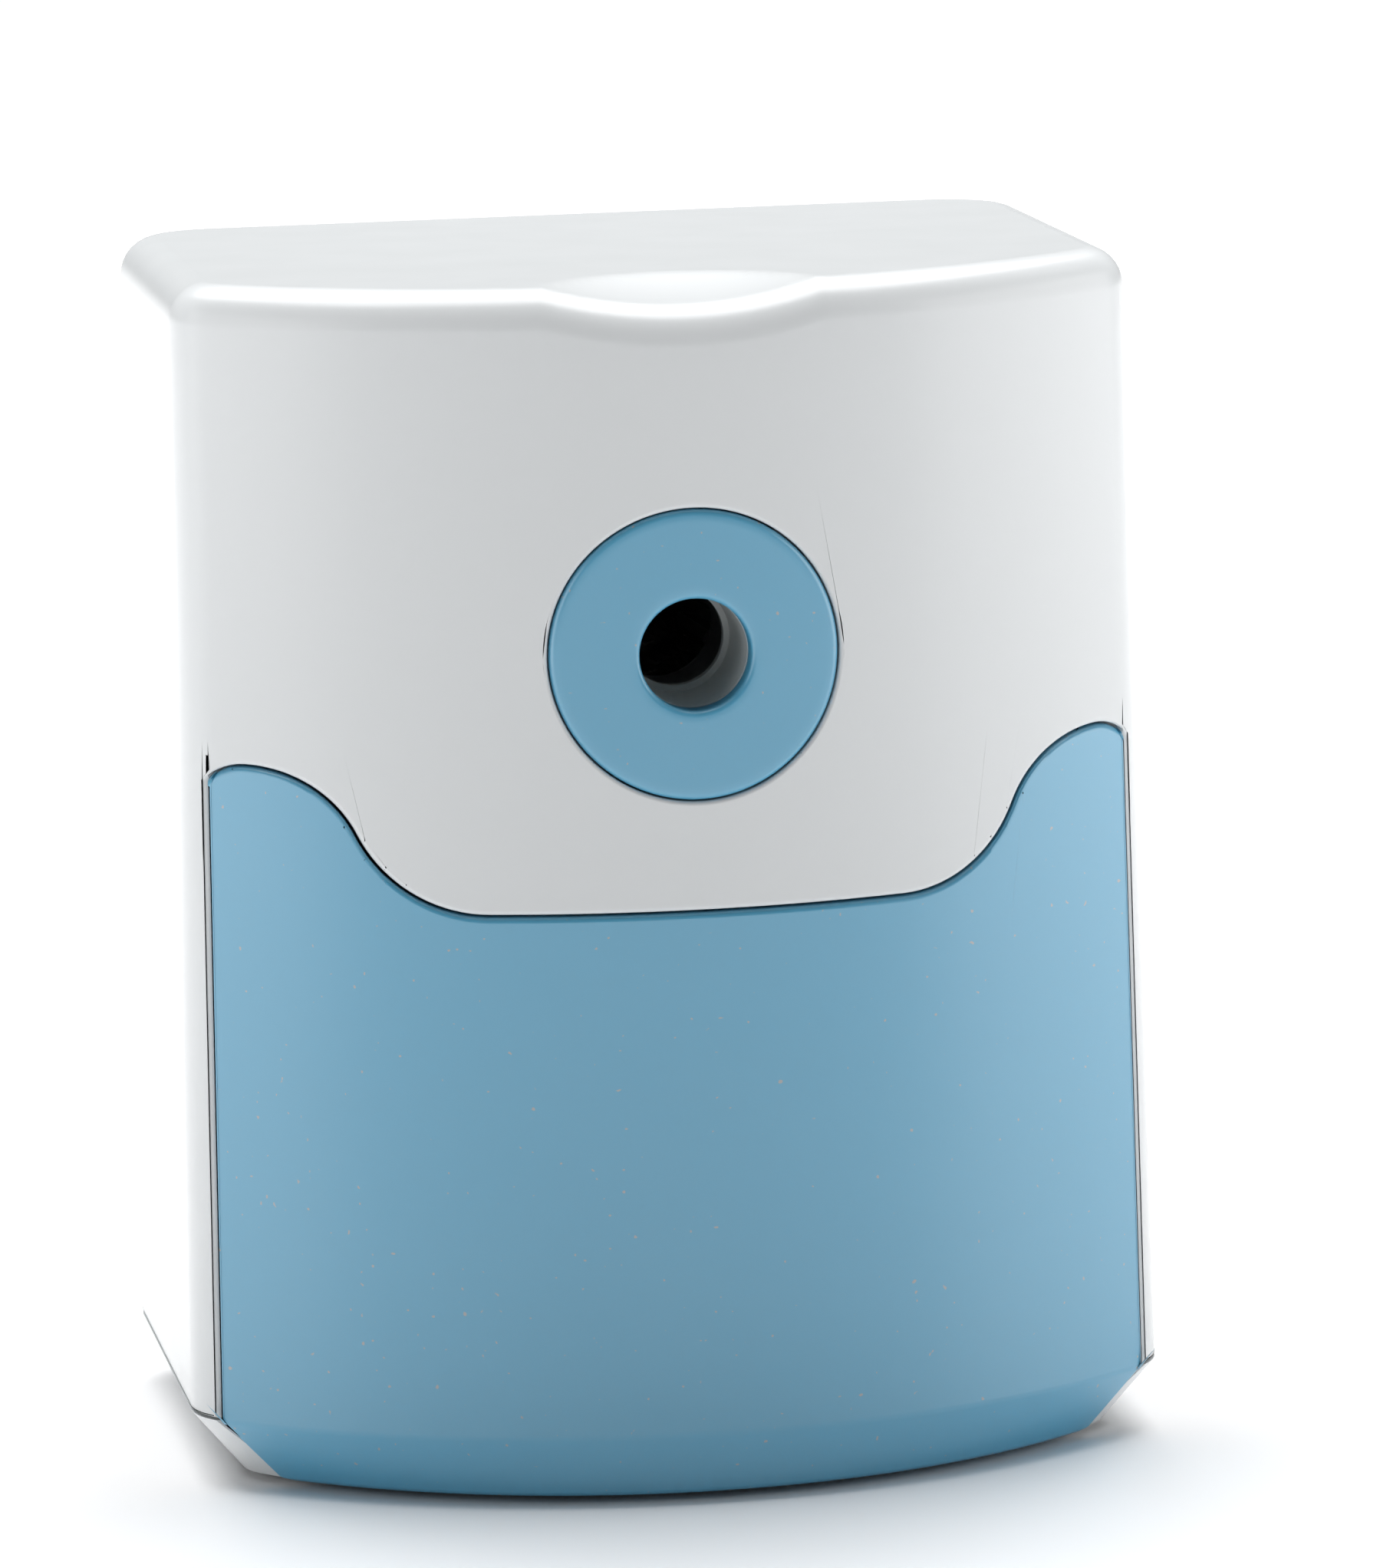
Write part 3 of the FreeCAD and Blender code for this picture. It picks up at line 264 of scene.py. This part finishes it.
def casing_bow(name):
    """Fine upright drum with the bow of the casing's front, to lay other pieces flush on it."""
    release()
    bpy.ops.mesh.primitive_cylinder_add(vertices=1440, radius=FRONT_RADIUS, depth=2 * FAR,
                                        end_fill_type="NOTHING",
                                        location=(0, FRONT_RADIUS - HALF_DEPTH, AXIS_HEIGHT))
    drum = bpy.context.object
    drum.name = name
    bpy.ops.object.transform_apply(location=True, rotation=True, scale=True)
    return drum


WAVE_FLAT, WAVE_LEVEL, EAR_X, EAR_TOP = 15.9 * MM, 45.7 * MM, 32.9 * MM, 56.6 * MM
WAVE_HOLLOW, EAR_OUTER = 10.4 * MM, 3.5 * MM
RISE, RUN = EAR_TOP - WAVE_LEVEL, EAR_X - WAVE_FLAT
SWING = (RISE ** 2 + RUN ** 2) / (2 * RISE)
WAVE_TURN = math.degrees(math.asin(RUN / SWING))


def wave_block(name, gap):
    """Everything in front of the seam and under the wave, grown by the gap."""
    seam_y = SEAM_DEPTH - HALF_DEPTH + gap
    half_wave = drawn_line(name, (0, seam_y, WAVE_LEVEL + gap), [
        (WAVE_FLAT, 0, 0),
        ((WAVE_FLAT, 0, WAVE_LEVEL + WAVE_HOLLOW), INTO, -WAVE_TURN, 18),
        ((EAR_X, 0, EAR_TOP - SWING + WAVE_HOLLOW), INTO, WAVE_TURN, 18),
        ((EAR_X, 0, EAR_TOP - EAR_OUTER), INTO, 90, 12),
        (0, 0, -FAR),
        (-EAR_X - EAR_OUTER - gap, 0, 0)])
    return filled(half_wave, (0, -FAR, 0))


def rod_block(name, radius, front, back, x=0.0, z=AXIS_HEIGHT, sides=96):
    """Round bar along the pencil's axis, used as a cutting tool or a blank."""
    release()
    bpy.ops.mesh.primitive_cylinder_add(vertices=sides, radius=radius, depth=back - front,
                                        location=(x, (front + back) / 2, z), rotation=(math.pi / 2, 0, 0))
    bar = bpy.context.object
    bar.name = name
    bpy.ops.object.transform_apply(location=True, rotation=True, scale=True)
    return bar


def bar_block(name, low, high):
    """Square bar between two corners, used as a cutting tool or a blank."""
    release()
    size = [b - a for a, b in zip(low, high)]
    middle = [(a + b) / 2 for a, b in zip(low, high)]
    bpy.ops.mesh.primitive_cube_add(size=1, location=middle, scale=size)
    bar = bpy.context.object
    bar.name = name
    bpy.ops.object.transform_apply(location=True, rotation=True, scale=True)
    return bar


def soften(piece, width, angle=40, segments=3, merge=0.05 * MM, skin=None):
    """Merges the crumbs of the cuts, rounds every sharp edge and smooths the faces. With a skin, the outside
    takes the skin's own smooth normals."""
    choose(piece, "VERT", lambda co: True)
    bpy.ops.mesh.remove_doubles(threshold=merge)
    bpy.ops.mesh.dissolve_degenerate(threshold=0.01 * MM)
    release()
    modify(piece, "BEVEL", width=width, segments=segments, limit_method="ANGLE",
           angle_limit=math.radians(angle), use_clamp_overlap=False, miter_outer="MITER_ARC")
    smooth(piece, 38)
    modify(piece, "WEIGHTED_NORMAL", keep_sharp=True, weight=60)
    if skin:
        modify(piece, "DATA_TRANSFER", object=skin, use_loop_data=True, data_types_loops={"CUSTOM_NORMAL"},
               loop_mapping="POLYINTERP_NEAREST", use_max_distance=True, max_distance=SKIN_REACH)


def placed(piece, name, paint, body, slot, *nodes):
    """Names and paints a finished piece, puts it on its body and hides the CAD nodes it stands for."""
    piece.name = piece.data.name = name
    piece.data.materials.clear()
    piece.data.materials.append(paint)
    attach(piece, body)
    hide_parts(*nodes)
    release()
    return piece


def moulded_plastic(name, colour, shade, roughness, grain, speck=0.0):
    """Injection-moulded plastic: faint cloudy tone, fine spark-eroded grain and a few dust specks."""
    paint = bpy.data.materials.new(name)
    paint.use_nodes = True
    nodes, links = paint.node_tree.nodes, paint.node_tree.links
    shader = nodes["Principled BSDF"]
    place = nodes.new("ShaderNodeTexCoord").outputs["Object"]

    def noise(scale, detail):
        node = nodes.new("ShaderNodeTexNoise")
        node.inputs["Scale"].default_value = scale
        node.inputs["Detail"].default_value = detail
        links.new(place, node.inputs["Vector"])
        return node.outputs["Fac"]

    cloud = nodes.new("ShaderNodeMix")
    cloud.data_type = "RGBA"
    cloud.inputs[6].default_value = (*shade, 1)
    cloud.inputs[7].default_value = (*colour, 1)
    links.new(noise(38, 3), cloud.inputs["Factor"])
    tone = cloud.outputs[2]
    if speck:
        dust = nodes.new("ShaderNodeMapRange")
        dust.inputs["From Min"].default_value = 0.82
        dust.inputs["From Max"].default_value = 0.86
        links.new(noise(2300, 0.0), dust.inputs["Value"])
        dusty = nodes.new("ShaderNodeMix")
        dusty.data_type = "RGBA"
        dusty.inputs[7].default_value = (speck, speck, speck, 1)
        links.new(dust.outputs["Result"], dusty.inputs["Factor"])
        links.new(tone, dusty.inputs[6])
        tone = dusty.outputs[2]
    links.new(tone, shader.inputs["Base Color"])
    gloss = nodes.new("ShaderNodeMapRange")
    gloss.inputs["To Min"].default_value = roughness * 0.94
    gloss.inputs["To Max"].default_value = roughness * 1.08
    links.new(noise(160, 4), gloss.inputs["Value"])
    links.new(gloss.outputs["Result"], shader.inputs["Roughness"])
    bump = nodes.new("ShaderNodeBump")
    bump.inputs["Strength"].default_value = grain
    bump.inputs["Distance"].default_value = 0.00002
    links.new(noise(5200, 2), bump.inputs["Height"])
    links.new(bump.outputs["Normal"], shader.inputs["Normal"])
    shader.inputs["IOR"].default_value = 1.5
    return paint


white_abs = moulded_plastic("white_abs", (0.680, 0.700, 0.710), (0.670, 0.690, 0.700), 0.26, 0.06)

SKIN_REACH, COVER_GAP = 0.012 * MM, 0.15 * MM
skin = casing_block("casing_skin", 0, 0, rounded=True)
smooth(skin, 12)
modify(skin, "WEIGHTED_NORMAL", keep_sharp=True, weight=60)

shell = casing_block("white_shell", 0, 0, rounded=True)
cover_low, cover_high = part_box("rear_cover")
opening = bar_block("rear_opening", (cover_low.x - COVER_GAP, cover_low.y - MM, cover_low.z - COVER_GAP),
                    (cover_high.x + COVER_GAP, FAR, cover_high.z + COVER_GAP))
carve(shell, casing_block("hollow", SHELL_WALL, ROOF, below=2 * MM), wave_block("drawer_room", SEAM_GAP),
      opening, rod_block("ring_hole", RING_HOLE, -FAR, RING_BACK - HALF_DEPTH, sides=128),
      bar_block("under_crease", (-FAR, -FAR, -FAR), (FAR, FAR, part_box("housing_shell")[0].z)))
soften(shell, 0.35 * MM, skin=skin)
placed(shell, "white_shell", white_abs, "housing", "white_plastic", "housing_shell")

# ---------------------------------------------------------------- drawer front
# Pale blue ABS cover screwed to the drawer: the whole lower front down to the foot, with the wave as its
# upper edge. Plain outside, with a rounded edge all along the seam.
blue_abs = moulded_plastic("blue_abs", (0.080, 0.335, 0.510), (0.075, 0.325, 0.498), 0.32, 0.12, speck=0.34)
blue_shader = blue_abs.node_tree.nodes["Principled BSDF"]
blue_shader.inputs["Specular IOR Level"].default_value = 0.9
blue_shader.inputs["IOR"].default_value = 1.62
FRONT_WALL, FRONT_GAP = 2.2 * MM, 0.1 * MM
SHELF_HALF, SHELF_DROP, SHELF_THICK = 29 * MM, 0.5 * MM, 2 * MM
BOSS_SIZE, BOSS_SIDE, BOSS_HEIGHT = 3.2 * MM, 18 * MM, 24 * MM
drawer_front = casing_block("blue_drawer_front", 0, 0, rounded=True)
carve(drawer_front, casing_block("front_hollow", FRONT_WALL, ROOF, below=2 * MM))
carve(drawer_front, wave_block("wave", 0), operation="INTERSECT")
tray_low, tray_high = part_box("drawer_tray")
shelf_back, shelf_top = tray_low.y - FRONT_GAP, tray_high.z - SHELF_DROP
shelf = bar_block("shelf", (-SHELF_HALF, -FAR, shelf_top - SHELF_THICK), (SHELF_HALF, shelf_back, shelf_top))
for side in (-1, 1):
    boss = rod_block("boss", BOSS_SIZE, -FAR, shelf_back, x=side * BOSS_SIDE, z=BOSS_HEIGHT, sides=48)
    carve(shelf, boss, operation="UNION")
carve(shelf, casing_block("shelf_limit", MM, ROOF), operation="INTERSECT")
carve(drawer_front, shelf, operation="UNION")
soften(drawer_front, 0.45 * MM, skin=skin)
placed(drawer_front, "blue_drawer_front", blue_abs, "drawer", "blue_plastic", "drawer_front")

# ---------------------------------------------------------------- pencil ring
# Blue moulded bezel pressed into the shell round the pencil hole, flush with the bowed front.
RING_RADIUS, HOLE_RADIUS, RING_EDGE = 11 * MM, 4.25 * MM, 0.45 * MM
RING_STEPS, RING_PROUD = 7, 2 * MM


def turned(piece, steps, height=AXIS_HEIGHT):
    """Spins a drawn profile into a closed round piece, about an axis along Y at the height given."""
    choose(piece, "VERT", lambda co: True)
    bpy.ops.mesh.spin(steps=steps, angle=2 * math.pi, center=(0, 0, height), axis=INTO)
    bpy.ops.mesh.select_all(action="SELECT")
    bpy.ops.mesh.remove_doubles(threshold=0.005 * MM)
    bpy.ops.mesh.normals_make_consistent(inside=False)
    release()


front_y, back_y = -HALF_DEPTH, RING_BACK - HALF_DEPTH
step = (RING_RADIUS - HOLE_RADIUS) / RING_STEPS
ring = drawn_line("ring_profile", (0, back_y, AXIS_HEIGHT + HOLE_RADIUS),
                  [(0, front_y - back_y - RING_PROUD, 0)] + [(0, 0, step)] * RING_STEPS
                  + [(0, back_y - front_y + RING_PROUD, 0), (0, 0, HOLE_RADIUS - RING_RADIUS)])
turned(ring, 144)
bow = casing_bow("ring_bow")
ring.vertex_groups.new(name="face")
choose(ring, "VERT", lambda co: co.y < front_y - MM)
bpy.ops.object.vertex_group_assign()
release()
modify(ring, "SHRINKWRAP", target=bow, wrap_method="PROJECT", use_project_y=True, use_project_x=False,
       use_project_z=False, use_positive_direction=True, use_negative_direction=True, vertex_group="face")
bpy.data.objects.remove(bow)
modify(ring, "BEVEL", width=RING_EDGE, segments=4, limit_method="ANGLE", angle_limit=math.radians(50),
       use_clamp_overlap=False)
smooth(ring, 38)
modify(ring, "WEIGHTED_NORMAL", keep_sharp=True, weight=60)
placed(ring, "pencil_ring", blue_abs, "housing", "blue_plastic", "entry_ring")

# ---------------------------------------------------------------- pencil guide and front bearing wall
# Grey acetal bush behind the ring that steadies the pencil, held by a white plate on four posts of the
# shell. The plate also carries the acetal bearing that the cutter carrier's nose turns in.
def dressed(paint, *nodes):
    """Gives CAD pieces whose shape is right their finish."""
    for node in nodes:
        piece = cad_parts[node]
        if not piece.data.materials:
            piece.data.materials.append(paint)
        for index in range(len(piece.data.materials)):
            piece.data.materials[index] = paint


grey_acetal = moulded_plastic("grey_acetal", (0.62, 0.64, 0.63), (0.56, 0.58, 0.57), 0.34, 0.15)
dressed(grey_acetal, "pencil_guide", "front_bearing")
dressed(white_abs, "bearing_wall")


# ---------------------------------------------------------------- screws
# Zinc-plated steel screws with a pan head and a cross recess, driven into the plastic bosses.
def bright_metal(name, colour, dark, roughness, scratch):
    """Plated or ground metal: cloudy tone, fine turning marks and a slightly uneven polish."""
    paint = bpy.data.materials.new(name)
    paint.use_nodes = True
    nodes, links = paint.node_tree.nodes, paint.node_tree.links
    shader = nodes["Principled BSDF"]
    shader.inputs["Metallic"].default_value = 1.0
    place = nodes.new("ShaderNodeTexCoord").outputs["Object"]
    stretch = nodes.new("ShaderNodeMapping")
    stretch.inputs["Scale"].default_value = (1.0, 9.0, 1.0)
    links.new(place, stretch.inputs["Vector"])
    marks = nodes.new("ShaderNodeTexNoise")
    marks.inputs["Scale"].default_value = 900
    links.new(stretch.outputs["Vector"], marks.inputs["Vector"])
    clouds = nodes.new("ShaderNodeTexNoise")
    clouds.inputs["Scale"].default_value = 240
    links.new(place, clouds.inputs["Vector"])
    tone = nodes.new("ShaderNodeMix")
    tone.data_type = "RGBA"
    tone.inputs[6].default_value = (*dark, 1)
    tone.inputs[7].default_value = (*colour, 1)
    links.new(clouds.outputs["Fac"], tone.inputs["Factor"])
    links.new(tone.outputs[2], shader.inputs["Base Color"])
    polish = nodes.new("ShaderNodeMapRange")
    polish.inputs["To Min"].default_value = roughness * 0.7
    polish.inputs["To Max"].default_value = roughness * 1.3
    links.new(marks.outputs["Fac"], polish.inputs["Value"])
    links.new(polish.outputs["Result"], shader.inputs["Roughness"])
    bump = nodes.new("ShaderNodeBump")
    bump.inputs["Strength"].default_value = scratch
    bump.inputs["Distance"].default_value = 0.00003
    links.new(marks.outputs["Fac"], bump.inputs["Height"])
    links.new(bump.outputs["Normal"], shader.inputs["Normal"])
    return paint


zinc_plate = bright_metal("bright_zinc", (0.62, 0.63, 0.64), (0.50, 0.51, 0.53), 0.30, 0.25)
dressed(zinc_plate, "wall_screws", "ring_gear_screws", "tray_screws")
HEAD_RADIUS, HEAD_HIGH, SHANK_RADIUS, RECESS = 2.0 * MM, 1.2 * MM, MM, 0.42 * MM
CROSS_LONG, CROSS_WIDE = 1.25 * MM, 0.28 * MM


def cross_screw(name, length):
    """Screw along +Y with the top of its domed head at the origin."""
    screw = drawn_line(name, (0, 0, 0), [
        (0, 0, 0.9 * MM), (0, -0.25 * MM, 0.7 * MM), (0, -0.45 * MM, 0.4 * MM),
        (0, 0.7 * MM - HEAD_HIGH, 0), (0, 0, SHANK_RADIUS - HEAD_RADIUS), (0, HEAD_HIGH - length, 0),
        (0, -0.4 * MM, -SHANK_RADIUS)])
    turned(screw, 32, height=0)
    for wide, high in ((CROSS_LONG, CROSS_WIDE), (CROSS_WIDE, CROSS_LONG)):
        carve(screw, bar_block("recess", (-wide, -2 * RECESS, -high), (wide, MM, high)))
    smooth(screw, 35)
    return screw


def set_screw(master, name, place, node, upward=False):
    """Copies a screw to its hole. An upward one is driven up from the underside."""
    copy = master.copy()
    copy.data = master.data.copy()
    bpy.context.scene.collection.objects.link(copy)
    hold(copy)
    if upward:
        bpy.ops.transform.rotate(value=math.pi / 2, orient_axis="X", center_override=(0, 0, 0))
    bpy.ops.transform.translate(value=place)
    bpy.ops.object.transform_apply(location=True, rotation=True, scale=True)
    placed(copy, name, zinc_plate, "housing", "zinc_plate", node)


# ---------------------------------------------------------------- back cover
# White ABS plate let into the back of the shell, with a hole for the gear cup's boss and four sunk
# screws. Its edges are slightly rounded, so a fine joint shows all round.
BOSS_HOLE, SINK_RADIUS, SINK_DEPTH = 9.1 * MM, HEAD_RADIUS + 0.15 * MM, 1.1 * MM
COVER_SCREWS = [(side * 24.5 * MM, level * MM) for level in (11, 84) for side in (-1, 1)]
back_cover = bar_block("back_cover", cover_low, cover_high)
carve(back_cover, rod_block("boss_hole", BOSS_HOLE, 0, FAR))
for x, z in COVER_SCREWS:
    carve(back_cover, rod_block("sink", SINK_RADIUS, cover_high.y - SINK_DEPTH, FAR, x, z, 48))
soften(back_cover, 0.3 * MM, angle=50)
placed(back_cover, "back_cover", white_abs, "housing", "white_plastic", "rear_cover")
cover_screw = cross_screw("cover_screw", 7 * MM)
for number, (x, z) in enumerate(COVER_SCREWS, start=1):
    set_screw(cover_screw, f"back_cover_screw_{number}", (x, cover_high.y, z), "cover_screws")

# ---------------------------------------------------------------- base plate and rubber mat
# White ABS plate that closes the foot and is held by two screws at the back. A ribbed black rubber mat,
# glued into its recess, keeps the sharpener from sliding.
dressed(white_abs, "base_plate")
BASE_SCREW_X, BASE_SCREW_Y = 28.5 * MM, 26.7 * MM
base_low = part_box("base_screws")[0]
for number, side in enumerate((-1, 1), start=1):
    place = (side * BASE_SCREW_X, BASE_SCREW_Y, base_low.z)
    set_screw(cover_screw, f"base_screw_{number}", place, "base_screws", upward=True)
bpy.data.objects.remove(cover_screw)
rubber = moulded_plastic("black_rubber", (0.035, 0.036, 0.038), (0.025, 0.026, 0.028), 0.75, 0.6)
MAT_CORNER, MAT_EDGE = 6 * MM, 0.18 * MM
GROOVE_HALF, GROOVE_REACH, GROOVE_DEPTH, GROOVE_PITCH = 0.5 * MM, 22 * MM, 0.45 * MM, 3.6 * MM


def round_corners(piece, low, high, radius, segments):
    """Rounds the four upright edges of a square bar."""
    for corner_x, corner_y in ((high.x, high.y), (low.x, high.y), (low.x, low.y), (high.x, low.y)):
        choose(piece, "EDGE", lambda co: math.hypot(co.x - corner_x, co.y - corner_y) < 0.01 * MM)
        bpy.ops.mesh.bevel(offset=radius, segments=segments, affect="EDGES")


mat_low, mat_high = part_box("rubber_mat")
mat = bar_block("rubber_mat_ribbed", mat_low, mat_high)
round_corners(mat, mat_low, mat_high, MAT_CORNER, 8)
for rib in range(-4, 6):
    middle = rib * GROOVE_PITCH
    carve(mat, bar_block("groove", (-GROOVE_REACH, middle - GROOVE_HALF, -MM),
                         (GROOVE_REACH, middle + GROOVE_HALF, GROOVE_DEPTH)))
soften(mat, MAT_EDGE, angle=60)
placed(mat, "rubber_mat_ribbed", rubber, "housing", "rubber", "rubber_mat")

# ---------------------------------------------------------------- gear cup and rear bearing
# Nylon cup with the fixed internal gear, screwed inside the back cover. Its pale boss shows at the back
# round the black acetal bearing of the crank's shaft, with a steel washer on top.
nylon = moulded_plastic("milky_nylon", (0.60, 0.61, 0.59), (0.54, 0.55, 0.53), 0.42, 0.2)
black_acetal = moulded_plastic("black_acetal", (0.030, 0.031, 0.033), (0.022, 0.023, 0.025), 0.4, 0.2)
steel = bright_metal("ground_steel", (0.58, 0.57, 0.56), (0.46, 0.45, 0.44), 0.28, 0.3)
dressed(nylon, "ring_gear", "cutter_pinion")
dressed(black_acetal, "rear_bearing")
dressed(steel, "thrust_washer", "crank_shaft", "drive_pin", "cutter_axle", "axle_clip", "knob_pin")

# ---------------------------------------------------------------- carrier and helical cutter
# Die-cast zinc carrier that swings the hardened steel helical cutter round the pencil's point. The
# cutter's nylon pinion rolls inside the gear cup.
zinc = bright_metal("zinc_casting", (0.50, 0.50, 0.51), (0.38, 0.38, 0.39), 0.46, 0.5)
tool_steel = bright_metal("hardened_steel", (0.42, 0.42, 0.43), (0.30, 0.30, 0.31), 0.24, 0.3)
dressed(zinc, "cutter_carrier")
dressed(tool_steel, "helical_cutter")

# ---------------------------------------------------------------- crank arm
# White ABS arm with a round hub on the shaft and an eye for the knob, a long shallow panel moulded into
# its back and softly rounded edges. One slotted screw holds it.
arm_low, arm_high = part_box("crank_arm")
KNOB_HEIGHT, HUB_RADIUS, EYE_RADIUS, ARM_HALF = 33.3 * MM, 6.5 * MM, 5.5 * MM, 4.6 * MM
PANEL_HALF, PANEL_LOW, PANEL_HIGH, PANEL_MIDDLE, PANEL_DEPTH = 2.4 * MM, 41.5 * MM, 56 * MM, 48 * MM, 1.3 * MM
bar_front, bar_back = arm_low.y + 0.4 * MM, arm_low.y + 4.4 * MM
arm = rod_block("crank_handle", HUB_RADIUS, arm_low.y, arm_high.y, sides=72)
carve(arm, bar_block("arm_bar", (-ARM_HALF, bar_front, KNOB_HEIGHT), (ARM_HALF, bar_back, AXIS_HEIGHT)),
      rod_block("arm_eye", EYE_RADIUS, bar_front, bar_back, z=KNOB_HEIGHT, sides=64), operation="UNION")
carve(arm, bar_block("arm_panel", (-PANEL_HALF, bar_back - PANEL_DEPTH, PANEL_LOW),
                     (PANEL_HALF, FAR, PANEL_HIGH)))
choose(arm, "VERT", lambda co: True)
for plane_co, plane_no in (((0, 0, 0), ACROSS), ((0, 0, PANEL_MIDDLE), UP)):
    bpy.ops.mesh.select_all(action="SELECT")
    bpy.ops.mesh.bisect(plane_co=plane_co, plane_no=plane_no)
soften(arm, 0.45 * MM, angle=30, segments=4)
placed(arm, "crank_handle", white_abs, "carrier", "white_plastic", "crank_arm")

SLOT_HALF, SLOT_DEPTH, SLOT_REACH = 0.4 * MM, 0.7 * MM, 5 * MM
screw_low, screw_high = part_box("crank_screw")
crank_screw = drawn_line("crank_screw_domed", (0, screw_high.y, AXIS_HEIGHT), [
    (0, 0, 1.6 * MM), (0, -0.3 * MM, 1.2 * MM), (0, -0.5 * MM, 0.8 * MM), (0, -0.6 * MM, 0),
    (0, 0, -2.4 * MM), (0, screw_low.y - screw_high.y + 1.4 * MM, 0), (0, 0, -1.2 * MM)])
turned(crank_screw, 48)
carve(crank_screw, bar_block("slot", (-SLOT_HALF, screw_high.y - SLOT_DEPTH, AXIS_HEIGHT - SLOT_REACH),
                             (SLOT_HALF, FAR, AXIS_HEIGHT + SLOT_REACH)))
smooth(crank_screw, 35)
placed(crank_screw, "crank_screw_domed", zinc_plate, "carrier", "zinc_plate", "crank_screw")

# ---------------------------------------------------------------- turning knob
# Pale blue ABS knob that spins on its steel pin, ribbed for the fingers, closed by a snap-in cap.
KNOB_STEPS, FLUTE_EVERY, FLUTE_DEPTH, FLUTE_EDGE = 96, 4, 0.34 * MM, 0.16 * MM
knob_low, knob_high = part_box("crank_knob")
knob = drawn_line("turning_knob", (0, knob_low.y, KNOB_HEIGHT + 1.55 * MM), [
    (0, 0, 3.45 * MM), (0, 3 * MM, 0.5 * MM), (0, 12.2 * MM, 1.1 * MM),
    ((0, knob_high.y - 1.2 * MM, KNOB_HEIGHT + 5.4 * MM), ACROSS, -90, 6),
    (0, 0, -1.8 * MM), (0, -2.5 * MM, 0), (0, 0, -2.05 * MM), (0, knob_low.y - knob_high.y + 2.5 * MM, 0)])
turned(knob, KNOB_STEPS, height=KNOB_HEIGHT)


def in_flute(centre, normal):
    """Faces of the knob's long side, two of every four round it."""
    turn_here = math.degrees(math.atan2(centre.z - KNOB_HEIGHT, centre.x))
    step_round = round(turn_here * KNOB_STEPS / 360 - 0.5) % FLUTE_EVERY
    long_side = knob_low.y + 4 * MM < centre.y < knob_high.y - 2 * MM
    outside = math.hypot(centre.x, centre.z - KNOB_HEIGHT) > 4.5 * MM
    return long_side and outside and step_round < FLUTE_EVERY / 2


choose(knob, "FACE", in_flute)
bpy.ops.mesh.inset(thickness=FLUTE_EDGE, depth=-FLUTE_DEPTH, use_boundary=True)
soften(knob, 0.08 * MM, angle=35, segments=2, merge=0.01 * MM)
placed(knob, "turning_knob", blue_abs, "knob", "blue_plastic", "crank_knob")

cap_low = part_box("knob_cap")[0]
cap = drawn_line("knob_cap_domed", (0, cap_low.y, KNOB_HEIGHT), [
    (0, 0, 3.55 * MM), (0, 0.9 * MM, 0), (0, 0.35 * MM, -0.3 * MM), (0, 0.25 * MM, -0.7 * MM),
    (0, 0.2 * MM, -1.1 * MM), (0, 0.1 * MM, -1.45 * MM)])
turned(cap, 64, height=KNOB_HEIGHT)
smooth(cap, 50)
placed(cap, "knob_cap_domed", blue_abs, "knob", "blue_plastic", "knob_cap")

# ---------------------------------------------------------------- shavings tray
# Clear polystyrene box with thin walls and round corners, open above and screwed to the drawer front.
clear_styrene = moulded_plastic("clear_styrene", (0.80, 0.86, 0.90), (0.77, 0.84, 0.88), 0.16, 0.1)
clear_styrene.node_tree.nodes["Principled BSDF"].inputs["Transmission Weight"].default_value = 0.8
TRAY_WALL, TRAY_CORNER = 1.5 * MM, 3 * MM
tray = bar_block("shavings_tray", tray_low, tray_high)
round_corners(tray, tray_low, tray_high, TRAY_CORNER, 6)
choose(tray, "FACE", lambda co, n: n.z > 0.9)
bpy.ops.mesh.inset(thickness=TRAY_WALL)
tray_deep = tray_high.z - tray_low.z - TRAY_WALL
bpy.ops.mesh.extrude_region_move(TRANSFORM_OT_translate={"value": (0, 0, -tray_deep)})
soften(tray, 0.4 * MM, angle=60)
placed(tray, "shavings_tray", clear_styrene, "drawer", "clear_tray", "drawer_tray")

bpy.data.objects.remove(skin)
